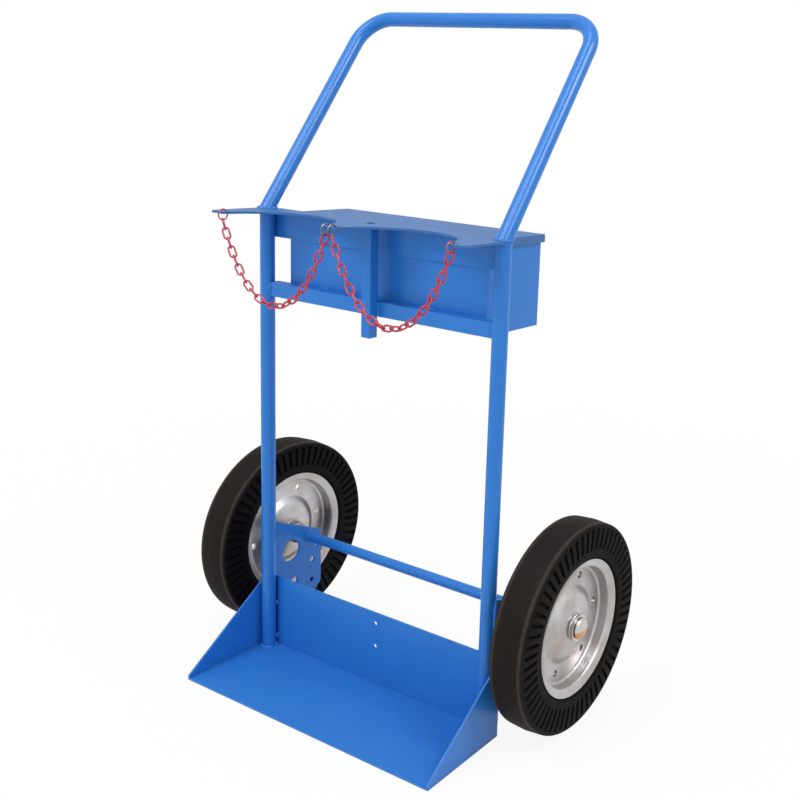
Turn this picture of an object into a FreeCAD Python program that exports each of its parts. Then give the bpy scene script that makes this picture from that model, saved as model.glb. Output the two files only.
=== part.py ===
import FreeCAD, Part
import math
import os
import Sketcher

# Gas cylinder trolley: a tube frame with a foot tray, a collar plate for two cylinders,
# a lidded toolbox, two chains and two rubber-tyred wheels.
# Frame: +X to the right as seen from the front, -Y to the front, +Z up, in millimetres.
# The origin is on the floor, midway between the uprights and under their axes.

SIZES = {
    # tube frame
    "tube_diameter": 26.9,
    "tube_wall": 2.6,
    "handle_height": 1229.0,
    "handle_lean": 35.8,
    "handle_corner_radius": 60.0,
    # collar plate
    "plate_height": 871.0,
    "plate_thickness": 4.0,
    "plate_side_angle": 30.0,
    "prong_reach": 117.0,
    "prong_corner_radius": 6.0,
    "centre_prong_width": 30.0,
    "outer_prong_width": 35.5,
    "cylinder_radius": 113.0,
    "cylinder_reach": 127.6,
    # rails and post
    "top_rail_height": 49.0,
    "rail_thickness": 4.0,
    "lower_rail_base": 710.5,
    "lower_rail_height": 26.0,
    "lower_rail_thickness": 3.0,
    "rail_front": 6.0,
    "rail_cope": 3.0,
    "post_width": 20.0,
    "post_wall": 2.0,
    "post_base": 674.5,
    # foot tray
    "tray_sheet": 4.0,
    "tray_reach": 175.5,
    "tray_wall_height": 146.0,
    "tray_nose": 5.0,
    "tray_hole_diameter": 8.5,
    "tray_hole_height": 79.0,
    "tray_hole_pitch": 46.0,
    # axle brackets
    "bracket_thickness": 4.0,
    "bracket_base": 46.0,
    "bracket_rear_margin": 32.0,
    "bracket_rear_rise": 6.0,
    "bracket_front_rise": 72.0,
    "bracket_rear_cut": 36.0,
    "bracket_corner_radius": 7.0,
    # round holes in the brackets, each placed from the axle
    "sight_hole_diameter": 45.0,
    "sight_hole_behind": -50.0,
    "sight_hole_drop": 15.0,
    "middle_hole_diameter": 12.5,
    "middle_hole_behind": 8.0,
    "middle_hole_drop": 53.0,
    "low_hole_diameter": 10.5,
    "low_hole_behind": 7.0,
    "low_hole_drop": 98.0,
    "front_hole_diameter": 17.5,
    "front_hole_behind": -41.0,
    "front_hole_drop": 84.0,
    "rear_hole_diameter": 7.0,
    "rear_hole_behind": 20.0,
    "rear_hole_drop": 28.0,
    # axle and wheel bearings
    "axle_diameter": 20.0,
    "axle_y": 121.0,
    "axle_chamfer": 1.5,
    "running_gap": 0.05,
    "side_gap": 0.4,
    "roller_diameter": 5.0,
    "roller_count": 8.0,
    "roller_end_margin": 9.0,
    "cage_thickness": 2.4,
    "cage_gap": 0.2,
    "spacer_diameter": 32.0,
    "spacer_length": 24.2,
    "washer_diameter": 48.0,
    "washer_thickness": 3.0,
    "cap_diameter": 39.0,
    "cap_sheet": 2.0,
    "cap_depth": 11.0,
    "cap_end_gap": 1.0,
    # wheels
    "wheel_diameter": 380.0,
    "tyre_width": 66.0,
    "tread_crown": 2.0,
    "shoulder_radius": 6.0,
    "bead_height": 17.0,
    "slot_count": 60.0,
    "slot_width": 6.0,
    "slot_depth": 5.0,
    "slot_inner_margin": 10.0,
    "slot_outer_margin": 4.0,
    "groove_pitch": 6.0,
    "groove_width": 1.2,
    "groove_depth": 0.6,
    "rim_seat_radius": 111.0,
    "rim_width": 60.0,
    "rim_lip_height": 13.0,
    "rim_sheet": 3.0,
    "rim_step_radius": 66.0,
    "rim_dome_radius": 50.0,
    "rim_dome_depth": 19.0,
    "rim_bend_radius": 3.5,
    "rim_hole_diameter": 13.0,
    "rim_hole_radius": 88.0,
    "rim_hole_count": 6.0,
    "rim_hole_turn": 8.0,
    "hub_diameter": 44.0,
    "hub_inner_length": 42.0,
    "hub_outer_length": 24.5,
    # toolbox and lid
    "box_side_gap": 27.0,
    "box_drop": 6.0,
    "box_depth": 151.0,
    "box_sheet": 1.5,
    "lid_drop": 5.0,
    "lid_sheet": 2.0,
    "lid_side_overhang": 6.5,
    "lid_rear_overhang": 2.5,
    "lid_flange": 14.0,
    "lid_edge_radius": 1.5,
    "lid_rest_gap": 0.3,
    # lid hinge
    "hinge_end_margin": 8.5,
    "hinge_knuckle_radius": 4.0,
    "hinge_pin_diameter": 5.0,
    "hinge_pin_gap": 0.1,
    "hinge_leaf_sheet": 1.5,
    "hinge_leaf_width": 24.0,
    "hinge_gap": 0.4,
    "hinge_lid_knuckles": 7.0,
    # chains
    "chain_wire": 4.0,
    "chain_inner_length": 17.0,
    "chain_outer_width": 14.5,
    "chain_play": 0.3,
    "chain_links": 23.0,
    "ring_pair_spacing": 14.0,
    "ring_radius": 10.0,
    "ring_wire": 3.6,
    "ring_drop": 5.5,
    "ring_edge": 3.6,
    "ring_inset": 8.0,
    "ring_hole_diameter": 8.0,
}

SIDES = {"left": -1.0, "right": 1.0}
RIM_HALVES = {"inner": -1.0, "outer": 1.0}
GROOVES_EACH_SIDE = 4
BRACKET_HOLES = ("sight_hole", "middle_hole", "low_hole", "front_hole", "rear_hole")
WIRE_FACETS = 6
NEAR = 0.01
PARALLEL = 0.999
SCALE_SPREAD = 100.0
HALVINGS = 200

doc = FreeCAD.newDocument("gas_cylinder_trolley")
sheet = doc.addObject("Spreadsheet::Sheet", "Sizes")
sub_parts = []


class Size:
    """A number together with the sheet expression that gives it."""

    def __init__(self, value, text=None):
        self.value = float(value)
        self.text = text if text else f"({float(value)})"

    def __add__(self, other):
        other = as_size(other)
        return Size(self.value + other.value, f"({self.text} + {other.text})")

    def __sub__(self, other):
        other = as_size(other)
        return Size(self.value - other.value, f"({self.text} - {other.text})")

    def __mul__(self, other):
        other = as_size(other)
        return Size(self.value * other.value, f"({self.text} * {other.text})")

    def __truediv__(self, other):
        other = as_size(other)
        return Size(self.value / other.value, f"({self.text} / {other.text})")

    def __neg__(self):
        return Size(-self.value, f"(0 - {self.text})")


def as_size(number):
    return number if isinstance(number, Size) else Size(number)


def sine(angle):
    return Size(math.sin(math.radians(angle.value)), f"sin({angle.text})")


def cosine(angle):
    return Size(math.cos(math.radians(angle.value)), f"cos({angle.text})")


def tangent(angle):
    return Size(math.tan(math.radians(angle.value)), f"tan({angle.text})")


def root(number):
    return Size(math.sqrt(number.value), f"sqrt({number.text})")


def fill_sheet():
    """Writes the driving sizes to the sheet and gives them back by name."""
    sizes = {}
    for row, (name, value) in enumerate(SIZES.items(), start=1):
        sheet.set(f"A{row}", name)
        sheet.set(f"B{row}", str(value))
        sheet.setAlias(f"B{row}", name)
        sizes[name] = Size(value, f"Sizes.{name}")
    doc.recompute()
    return sizes


ZERO = Size(0.0)
size = fill_sheet()
tube_radius = size["tube_diameter"] / 2
plate_top = size["plate_height"]
plate_underside = plate_top - size["plate_thickness"]
seat_rise = size["cylinder_reach"] - size["prong_reach"]
seat_half_mouth = root(size["cylinder_radius"] * size["cylinder_radius"] - seat_rise * seat_rise)
seat_x = size["centre_prong_width"] / 2 + seat_half_mouth
plate_half_width = seat_x + seat_half_mouth + size["outer_prong_width"]
upright_x = plate_half_width - tube_radius * cosine(size["plate_side_angle"])
rail_rear = tube_radius + size["rail_thickness"]
bracket_inner_x = upright_x + tube_radius
gusset_inner_x = bracket_inner_x + size["bracket_thickness"]
tray_half_width = gusset_inner_x + size["tray_sheet"]
axle_radius = size["axle_diameter"] / 2
wheel_radius = size["wheel_diameter"] / 2
hub_inner_x = gusset_inner_x + size["spacer_length"] + size["side_gap"]
wheel_x = hub_inner_x + size["hub_inner_length"]
hub_outer_x = wheel_x + size["hub_outer_length"]
washer_x = hub_outer_x + size["side_gap"]
cap_x = washer_x + size["washer_thickness"]
axle_end_x = cap_x + size["cap_depth"] - size["cap_sheet"] - size["cap_end_gap"]
roller_radius = size["roller_diameter"] / 2
roller_path_radius = axle_radius + size["running_gap"] + roller_radius
hub_bore_radius = roller_path_radius + roller_radius + size["running_gap"]
box_half_width = upright_x - tube_radius - size["box_side_gap"]
box_inner_front = rail_rear + size["box_sheet"]
hinge_y = box_inner_front + size["hinge_gap"] + size["hinge_knuckle_radius"]
hinge_length = (box_half_width - size["box_sheet"] - size["hinge_end_margin"]) * 2
lid_top = plate_top - size["lid_drop"]
lid_underside = lid_top - size["lid_sheet"]
hinge_z = lid_underside - size["hinge_leaf_sheet"] / 2
lid_front = hinge_y + size["hinge_knuckle_radius"] + size["hinge_gap"]
box_base = size["lower_rail_base"] - size["box_drop"]
box_rim = lid_underside - size["lid_rest_gap"]
chain_end_x = {
    "outer": plate_half_width - size["outer_prong_width"] + size["ring_inset"],
    "inner": size["ring_pair_spacing"] / 2,
}
ring_y = size["ring_edge"] - size["prong_reach"]
ring_z = plate_top - size["ring_drop"]
ring_rise = size["ring_drop"] - size["plate_thickness"] / 2
ring_hole_y = ring_y + root(size["ring_radius"] * size["ring_radius"] - ring_rise * ring_rise)
post_y = -(size["rail_front"] + size["post_width"] / 2)


# Helpers that draw and bind

def bind(item, name, value):
    """Ties one property of an object to the sheet."""
    item.setExpression(name, value.text)


def place(item, x, y, z):
    """Puts an object at a point of the shared frame."""
    for axis, value in (("x", x), ("y", y), ("z", z)):
        bind(item, f"Placement.Base.{axis}", value)


def sub_part(item, label):
    """Names an object as one finished piece of the trolley."""
    item.Label = label
    sub_parts.append(item)
    return item


def new_body(label):
    return sub_part(doc.addObject("PartDesign::Body", label), label)


def origin_item(body, role):
    return next(item for item in body.Origin.OriginFeatures if item.Role == role)


def new_sketch(body, role, offset=None):
    sketch = body.newObject("Sketcher::SketchObject", f"{body.Name}_sketch")
    sketch.AttachmentSupport = [(origin_item(body, role), "")]
    sketch.MapMode = "FlatFace"
    if offset:
        bind(sketch, "AttachmentOffset.Base.z", offset)
    return sketch


def hold(sketch, kind, *where, value):
    """Adds one dimension to a sketch and ties it to the sheet."""
    index = sketch.addConstraint(Sketcher.Constraint(kind, *where, value.value))
    bind(sketch, f"Constraints[{index}]", value)


def hold_point(sketch, geometry, end, point):
    hold(sketch, "DistanceX", -1, 1, geometry, end, value=point[0])
    hold(sketch, "DistanceY", -1, 1, geometry, end, value=point[1])


def flat(point):
    return FreeCAD.Vector(point[0].value, point[1].value, 0)


def turn_of(centre, point):
    offset = flat(point) - flat(centre)
    return math.atan2(offset.y, offset.x)


def outline(sketch, corners, arcs=None):
    """Draws a closed outline through corners.

    arcs maps a corner's number to (centre, way): the stretch that leaves that corner is an
    arc about that centre, and way is 1 for anticlockwise and -1 for clockwise.
    """
    arcs = arcs or {}
    starts = []
    for number, corner in enumerate(corners):
        following = corners[(number + 1) % len(corners)]
        if number in arcs:
            centre, way = arcs[number]
            first, last = (corner, following) if way > 0 else (following, corner)
            radius = flat(centre).distanceToPoint(flat(corner))
            whole = Part.Circle(flat(centre), FreeCAD.Vector(0, 0, 1), radius)
            arc = Part.ArcOfCircle(whole, turn_of(centre, first), turn_of(centre, last))
            geometry = sketch.addGeometry(arc, False)
            starts.append((geometry, 1, 2) if way > 0 else (geometry, 2, 1))
        else:
            geometry = sketch.addGeometry(Part.LineSegment(flat(corner), flat(following)), False)
            starts.append((geometry, 1, 2))
    for number, (geometry, start, _) in enumerate(starts):
        before, _, before_end = starts[number - 1]
        sketch.addConstraint(Sketcher.Constraint("Coincident", before, before_end, geometry, start))
        hold_point(sketch, geometry, start, corners[number])
    for number, (centre, _) in arcs.items():
        chord = flat(corners[(number + 1) % len(corners)]) - flat(corners[number])
        across = 1 if abs(chord.x) > abs(chord.y) else 0
        hold(sketch, ("DistanceX", "DistanceY")[across], -1, 1, starts[number][0], 3, value=centre[across])


def rectangle(sketch, x0, y0, x1, y1):
    outline(sketch, [(x0, y0), (x1, y0), (x1, y1), (x0, y1)])


def circle(sketch, centre, radius):
    geometry = sketch.addGeometry(Part.Circle(flat(centre), FreeCAD.Vector(0, 0, 1), radius.value), False)
    hold_point(sketch, geometry, 3, centre)
    hold(sketch, "Radius", geometry, value=radius)


def pad(body, sketch, length, symmetric=False, backward=False):
    feature = body.newObject("PartDesign::Pad", f"{body.Name}_pad")
    feature.Profile = sketch
    feature.SideType = "Symmetric" if symmetric else "One side"
    feature.Reversed = backward
    bind(feature, "Length", length)
    return feature


def revolve(body, sketch):
    """Turns a sketch a full turn about the body's own X axis."""
    feature = body.newObject("PartDesign::Revolution", f"{body.Name}_turning")
    feature.Profile = sketch
    feature.ReferenceAxis = (origin_item(body, "X_Axis"), [""])
    feature.Angle = 360.0
    return feature


def pocket(body, sketch, depth=None, backward=False):
    """Cuts a sketch into the body, right through both ways where no depth is given."""
    doc.recompute()
    before = body.Shape.Volume
    feature = body.newObject("PartDesign::Pocket", f"{body.Name}_pocket")
    feature.Profile = sketch
    feature.Reversed = backward
    if depth:
        bind(feature, "Length", depth)
    else:
        feature.SideType = "Symmetric"
        feature.Type = "ThroughAll"
    doc.recompute()
    if body.Shape.Volume >= before:
        raise RuntimeError(f"{feature.Name} cuts nothing")
    return feature


def polar_pattern(body, features, count):
    pattern = body.newObject("PartDesign::PolarPattern", f"{body.Name}_ring")
    pattern.Originals = features
    pattern.Axis = (origin_item(body, "X_Axis"), [""])
    pattern.Angle = 360.0
    bind(pattern, "Occurrences", count)
    body.Tip = pattern
    return pattern


def row_pattern(body, features, length, count):
    pattern = body.newObject("PartDesign::LinearPattern", f"{body.Name}_row")
    pattern.Originals = features
    pattern.Direction = (origin_item(body, "X_Axis"), [""])
    bind(pattern, "Length", length)
    bind(pattern, "Occurrences", count)
    body.Tip = pattern
    return pattern


def soften(body, kind, amount, wanted):
    """Rounds or chamfers the edges of a body that wanted picks out."""
    doc.recompute()
    names = [f"Edge{n}" for n, edge in enumerate(body.Shape.Edges, start=1) if wanted(edge)]
    if not names:
        raise RuntimeError(f"{body.Name} has no edge to soften")
    base = body.Tip
    feature = body.newObject(f"PartDesign::{kind}", f"{body.Name}_{kind.lower()}")
    feature.Base = (base, names)
    bind(feature, "Radius" if kind == "Fillet" else "Size", amount)
    return feature


def runs_along(edge, axis):
    """True for a straight edge along X, Y or Z, numbered 0 to 2."""
    if edge.Curve.TypeId != "Part::GeomLine":
        return False
    return abs(edge.Curve.Direction[axis]) > PARALLEL


# Tube frame

def make_upright(side):
    body = new_body(f"{side}_upright")
    sketch = new_sketch(body, "XY_Plane")
    circle(sketch, (ZERO, ZERO), tube_radius)
    circle(sketch, (ZERO, ZERO), tube_radius - size["tube_wall"])
    pad(body, sketch, plate_top - size["tray_sheet"])
    place(body, upright_x * SIDES[side], ZERO, size["tray_sheet"])


def rounded_route(points, radii):
    """A wire of straight runs joined by arcs, one radius for each inner point."""
    edges = []
    start = points[0]
    for number in range(1, len(points) - 1):
        corner = points[number]
        back = (points[number - 1] - corner).normalize()
        onward = (points[number + 1] - corner).normalize()
        half_turn = (math.pi - back.getAngle(onward)) / 2
        reach = radii[number - 1] * math.tan(half_turn)
        inward = (back + onward).normalize()
        middle = corner + inward * (radii[number - 1] / math.cos(half_turn) - radii[number - 1])
        arc_start = corner + back * reach
        arc_end = corner + onward * reach
        edges.append(Part.LineSegment(start, arc_start).toShape())
        edges.append(Part.Arc(arc_start, middle, arc_end).toShape())
        start = arc_end
    edges.append(Part.LineSegment(start, points[-1]).toShape())
    return Part.Wire(edges)


def sweep_tube(name, radius, route, lean):
    """A round bar along a route that starts upwards, leaning back by the given angle."""
    section = doc.addObject("Part::Circle", f"{name}_section")
    bind(section, "Radius", radius)
    section.Placement.Base = route.Shape.Vertexes[0].Point
    section.Placement.Rotation = FreeCAD.Rotation(FreeCAD.Vector(-1, 0, 0), lean.value)
    sweep = doc.addObject("Part::Sweep", f"{name}_sweep")
    sweep.Sections = [section]
    sweep.Spine = (route, [f"Edge{n + 1}" for n in range(len(route.Shape.Edges))])
    sweep.Solid = True
    sweep.Frenet = False
    return sweep


def make_handle():
    """A bent tube that leans back from the plate, with both ends sawn level to stand on it."""
    lean = size["handle_lean"]
    setback = (size["handle_height"] - plate_top) * tangent(lean)
    half = upright_x.value
    left = [
        FreeCAD.Vector(-half, -(tube_radius * tangent(lean)).value, (plate_top - tube_radius).value),
        FreeCAD.Vector(-half, setback.value, size["handle_height"].value),
    ]
    right = [FreeCAD.Vector(-point.x, point.y, point.z) for point in reversed(left)]
    corner = size["handle_corner_radius"].value
    route = doc.addObject("Part::Feature", "handle_route")
    route.Shape = rounded_route(left + right, [corner, corner])
    tube = doc.addObject("Part::Cut", "handle_tube")
    tube.Base = sweep_tube("handle_outside", tube_radius, route, lean)
    tube.Tool = sweep_tube("handle_bore", tube_radius - size["tube_wall"], route, lean)
    waste = doc.addObject("Part::Box", "handle_waste")
    reach = size["tube_diameter"] * 2
    bind(waste, "Length", (upright_x + reach) * 2)
    bind(waste, "Width", reach * 2)
    bind(waste, "Height", reach)
    place(waste, -(upright_x + reach), -reach, plate_top - reach)
    handle = doc.addObject("Part::Cut", "handle")
    handle.Base = tube
    handle.Tool = waste
    sub_part(handle, "handle")


# Collar plate, rails and post

def make_collar_plate():
    body = new_body("collar_plate")
    sketch = new_sketch(body, "XY_Plane")
    seat_y = -size["cylinder_reach"]
    tip_y = -size["prong_reach"]
    inner_x = upright_x - tube_radius
    side_y = -(tube_radius * sine(size["plate_side_angle"]))
    left = [
        (-inner_x, rail_rear),
        (-inner_x, ZERO),
        (-plate_half_width, side_y),
        (-plate_half_width, tip_y),
        (-seat_x - seat_half_mouth, tip_y),
        (seat_half_mouth - seat_x, tip_y),
    ]
    right = [(-x, y) for x, y in reversed(left)]
    arcs = {
        1: ((-upright_x, ZERO), -1),
        4: ((-seat_x, seat_y), -1),
        6: ((seat_x, seat_y), -1),
        9: ((upright_x, ZERO), -1),
    }
    outline(sketch, left + right, arcs)
    for ring_x in chain_end_x.values():
        for way in SIDES.values():
            circle(sketch, (ring_x * way, ring_hole_y), size["ring_hole_diameter"] / 2)
    hole = size["post_width"] / 2 - size["post_wall"]
    rectangle(sketch, -hole, post_y - hole, hole, post_y + hole)
    pad(body, sketch, size["plate_thickness"])

    def is_prong_corner(edge):
        return runs_along(edge, 2) and abs(edge.CenterOfMass.y - tip_y.value) < NEAR

    soften(body, "Fillet", size["prong_corner_radius"], is_prong_corner)
    place(body, ZERO, ZERO, plate_underside)


def make_top_rail():
    rail = sub_part(doc.addObject("Part::Box", "top_rail"), "top_rail")
    bind(rail, "Length", upright_x * 2)
    bind(rail, "Width", size["rail_thickness"])
    bind(rail, "Height", size["top_rail_height"])
    place(rail, -upright_x, tube_radius, plate_underside - size["top_rail_height"])


def make_lower_rail():
    """An angle, coped at both ends to fit the uprights, whose upper leg meets the toolbox's front."""
    body = new_body("lower_rail")
    front = -size["rail_front"]
    web = size["lower_rail_thickness"]
    height = size["lower_rail_height"]
    section = new_sketch(body, "YZ_Plane")
    outline(section, [
        (front, ZERO),
        (front + web, ZERO),
        (front + web, height - web),
        (rail_rear, height - web),
        (rail_rear, height),
        (front, height),
    ])
    pad(body, section, (upright_x - tube_radius + size["rail_cope"]) * 2, symmetric=True)
    ends = new_sketch(body, "XY_Plane")
    for way in SIDES.values():
        circle(ends, (upright_x * way, ZERO), tube_radius)
    pocket(body, ends)
    place(body, ZERO, ZERO, size["lower_rail_base"])


def make_centre_post():
    body = new_body("centre_post")
    sketch = new_sketch(body, "XY_Plane")
    outer = size["post_width"] / 2
    inner = outer - size["post_wall"]
    rectangle(sketch, -outer, -outer, outer, outer)
    rectangle(sketch, -inner, -inner, inner, inner)
    pad(body, sketch, plate_underside - size["post_base"])

    def is_outer_corner(edge):
        return runs_along(edge, 2) and abs(edge.CenterOfMass.x) > inner.value + NEAR

    soften(body, "Fillet", size["post_wall"], is_outer_corner)
    place(body, ZERO, post_y, size["post_base"])


# Foot tray

def make_foot_tray():
    """A floor and a back wall folded from one sheet, the wall fitted between the axle brackets."""
    body = new_body("foot_tray")
    gauge = size["tray_sheet"]
    wall_front = tube_radius
    wall_rear = wall_front + gauge
    section = new_sketch(body, "YZ_Plane")
    corners = [
        (-size["tray_reach"], ZERO),
        (wall_front, ZERO),
        (wall_rear, gauge),
        (wall_rear, size["tray_wall_height"]),
        (wall_front, size["tray_wall_height"]),
        (wall_front, gauge),
        (-size["tray_reach"], gauge),
    ]
    outline(section, corners, {1: ((wall_front, gauge), 1)})
    pad(body, section, bracket_inner_x * 2, symmetric=True)
    floor = new_sketch(body, "XY_Plane")
    rectangle(floor, -tray_half_width, -size["tray_reach"], tray_half_width, wall_front)
    pad(body, floor, gauge)
    holes = new_sketch(body, "XZ_Plane")
    for height in (size["tray_hole_height"], size["tray_hole_height"] + size["tray_hole_pitch"]):
        circle(holes, (ZERO, height), size["tray_hole_diameter"] / 2)
    pocket(body, holes)


def make_gusset(side):
    body = new_body(f"{side}_gusset")
    sketch = new_sketch(body, "YZ_Plane")
    outline(sketch, [
        (-size["tray_reach"], ZERO),
        (tube_radius, ZERO),
        (tube_radius, size["tray_wall_height"] - size["tray_sheet"]),
        (-size["tray_reach"], size["tray_nose"]),
    ])
    pad(body, sketch, size["tray_sheet"], backward=side == "left")
    place(body, gusset_inner_x * SIDES[side], ZERO, size["tray_sheet"])


# Axle, brackets and what keeps the wheels on

def make_axle_bracket(side):
    body = new_body(f"{side}_axle_bracket")
    sketch = new_sketch(body, "YZ_Plane")
    rear = size["axle_y"] + size["bracket_rear_margin"]
    front_top = wheel_radius + size["bracket_front_rise"]
    outline(sketch, [
        (-tube_radius, size["bracket_base"]),
        (rear - size["bracket_rear_cut"], size["bracket_base"]),
        (rear, size["bracket_base"] + size["bracket_rear_cut"]),
        (rear, wheel_radius + size["bracket_rear_rise"]),
        (ZERO, front_top),
        (-tube_radius, front_top),
    ])
    circle(sketch, (size["axle_y"], wheel_radius), axle_radius)
    for hole in BRACKET_HOLES:
        hole_y = size["axle_y"] + size[f"{hole}_behind"]
        hole_z = wheel_radius - size[f"{hole}_drop"]
        circle(sketch, (hole_y, hole_z), size[f"{hole}_diameter"] / 2)
    pad(body, sketch, size["bracket_thickness"], backward=side == "left")
    soften(body, "Fillet", size["bracket_corner_radius"],
           lambda edge: runs_along(edge, 0) and edge.CenterOfMass.y > NEAR)
    place(body, bracket_inner_x * SIDES[side], ZERO, ZERO)


def make_axle():
    body = new_body("axle")
    sketch = new_sketch(body, "YZ_Plane")
    circle(sketch, (ZERO, ZERO), axle_radius)
    pad(body, sketch, axle_end_x * 2, symmetric=True)
    soften(body, "Chamfer", size["axle_chamfer"], lambda edge: edge.Curve.TypeId == "Part::GeomCircle")
    place(body, ZERO, size["axle_y"], wheel_radius)


def make_ring(label, side, start_x, length, diameter):
    """A plain ring on the axle: a spacer or a washer."""
    body = new_body(label)
    sketch = new_sketch(body, "YZ_Plane")
    circle(sketch, (ZERO, ZERO), diameter / 2)
    circle(sketch, (ZERO, ZERO), axle_radius + size["running_gap"])
    pad(body, sketch, length, backward=side == "left")
    place(body, start_x * SIDES[side], size["axle_y"], wheel_radius)


def make_axle_cap(side):
    """A pressed dome cap whose inner flange grips the axle."""
    body = new_body(f"{side}_axle_cap")
    way = SIDES[side]
    gauge = size["cap_sheet"]
    outer = size["cap_diameter"] / 2
    inner = outer - gauge
    depth = size["cap_depth"]
    sketch = new_sketch(body, "XY_Plane")
    bend = depth / 2
    outline(sketch, [
        (ZERO, axle_radius),
        (ZERO, outer),
        ((depth - bend) * way, outer),
        (depth * way, outer - bend),
        (depth * way, ZERO),
        ((depth - gauge) * way, ZERO),
        ((depth - gauge) * way, outer - bend),
        ((depth - bend) * way, inner),
        (gauge * way, inner),
        (gauge * way, axle_radius),
    ], {
        2: (((depth - bend) * way, outer - bend), -way),
        6: (((depth - bend) * way, outer - bend), way),
    })
    revolve(body, sketch)
    place(body, cap_x * way, size["axle_y"], wheel_radius)


# Wheels

def place_wheel_piece(body, side):
    place(body, wheel_x * SIDES[side], size["axle_y"], wheel_radius)


def tread_groove(centre, tread):
    """The corners of one groove round the tread, from its outer edge to its inner edge."""
    surface = wheel_radius - size["tread_crown"] * centre / tread
    floor = surface - size["groove_depth"]
    outer = centre + size["groove_width"] / 2
    inner = centre - size["groove_width"] / 2
    return [(outer, surface), (outer, floor), (inner, floor), (inner, surface)]


def make_tyre(side):
    """A solid rubber ring with a grooved tread, round shoulders and a ring of slots in each side."""
    body = new_body(f"{side}_tyre")
    half = size["tyre_width"] / 2
    seat = size["rim_seat_radius"]
    bead = size["rim_width"] / 2 - size["rim_sheet"]
    bead_top = seat + size["bead_height"]
    wall_foot = bead_top + half - bead
    wall_top = wheel_radius - size["tread_crown"] - size["shoulder_radius"]
    tread = half - size["shoulder_radius"]
    section = new_sketch(body, "XY_Plane")
    right = [
        (bead, seat),
        (bead, bead_top),
        (half, wall_foot),
        (half, wall_top),
        (tread, wall_top + size["shoulder_radius"]),
    ]
    shoulder = len(right) - 1
    for half_pitches in reversed(range(1, GROOVES_EACH_SIDE * 2, 2)):
        right += tread_groove(size["groove_pitch"] / 2 * half_pitches, tread)
    right.append((ZERO, wheel_radius))
    left = [(-x, y) for x, y in reversed(right[:-1])]
    far_shoulder = 2 * (len(right) - 1) - shoulder
    arcs = {shoulder - 1: ((tread, wall_top), 1), far_shoulder: ((-tread, wall_top), 1)}
    outline(section, right + left, arcs)
    revolve(body, section)
    for way in SIDES.values():
        slot = new_sketch(body, "YZ_Plane", half * way)
        width = size["slot_width"] / 2
        slot_foot = wall_foot + size["slot_inner_margin"]
        rectangle(slot, slot_foot, -width, wall_top - size["slot_outer_margin"], width)
        cut = pocket(body, slot, size["slot_depth"], backward=way < 0)
        polar_pattern(body, [cut], size["slot_count"])
    place_wheel_piece(body, side)


def make_rim_half(side, half):
    """One pressed half of a rim: a lip, half the tyre seat, and a disc domed towards its own face."""
    body = new_body(f"{side}_rim_{half}")
    way = SIDES[side] * RIM_HALVES[half]
    gauge = size["rim_sheet"]
    half_gauge = gauge / 2
    edge_x = size["rim_width"] / 2
    seat = size["rim_seat_radius"]
    lip = seat + size["rim_lip_height"]
    dome = size["rim_dome_depth"]
    hub = size["hub_diameter"] / 2
    section = new_sketch(body, "XY_Plane")
    points = [
        (ZERO, seat),
        (edge_x - gauge, seat),
        (edge_x - gauge, lip),
        (edge_x, lip),
        (edge_x, seat - gauge),
        (gauge, seat - gauge),
        (gauge, size["rim_step_radius"]),
        (dome + half_gauge, size["rim_dome_radius"]),
        (dome + half_gauge, hub),
        (dome - half_gauge, hub),
        (dome - half_gauge, size["rim_dome_radius"] - half_gauge),
        (ZERO, size["rim_step_radius"] - half_gauge),
    ]
    outline(section, [(x * way, y) for x, y in points], {2: (((edge_x - half_gauge) * way, lip), -way)})
    revolve(body, section)

    def is_bend(edge):
        if edge.Curve.TypeId != "Part::GeomCircle":
            return False
        beside_disc = abs(edge.CenterOfMass.x) < (edge_x - gauge).value - NEAR
        return beside_disc and edge.Curve.Radius > hub.value + NEAR

    soften(body, "Fillet", size["rim_bend_radius"], is_bend)
    hole = new_sketch(body, "YZ_Plane")
    turn = size["rim_hole_turn"]
    reach = size["rim_hole_radius"]
    circle(hole, (reach * cosine(turn), reach * sine(turn)), size["rim_hole_diameter"] / 2)
    cut = pocket(body, hole)
    polar_pattern(body, [cut], size["rim_hole_count"])
    place_wheel_piece(body, side)


def make_hub(side):
    """The plain hub tube that both rim halves are welded to."""
    body = new_body(f"{side}_hub")
    way = SIDES[side]
    hub = new_sketch(body, "YZ_Plane", -(size["hub_inner_length"] * way))
    circle(hub, (ZERO, ZERO), size["hub_diameter"] / 2)
    circle(hub, (ZERO, ZERO), hub_bore_radius)
    pad(body, hub, size["hub_inner_length"] + size["hub_outer_length"], backward=side == "left")
    place_wheel_piece(body, side)


def roller_span():
    """Where the rollers start, measured from the wheel's middle, and how long they are."""
    start = size["roller_end_margin"] - size["hub_inner_length"]
    length = size["hub_inner_length"] + size["hub_outer_length"] - size["roller_end_margin"] * 2
    return start, length


def make_rollers(side):
    """The bearing rollers, a ring of separate cylinders between axle and hub."""
    start, length = roller_span()
    if side == "left":
        start = -(start + length)
    roller = Part.makeCylinder(
        roller_radius.value, length.value,
        FreeCAD.Vector(start.value, roller_path_radius.value, 0), FreeCAD.Vector(1, 0, 0))
    count = int(size["roller_count"].value)
    rollers = []
    for number in range(count):
        copy = roller.copy()
        copy.rotate(FreeCAD.Vector(), FreeCAD.Vector(1, 0, 0), 360.0 * number / count)
        rollers.append(copy)
    group = sub_part(doc.addObject("Part::Feature", f"{side}_rollers"), f"{side}_rollers")
    group.Shape = Part.makeCompound(rollers)
    place_wheel_piece(group, side)


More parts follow.
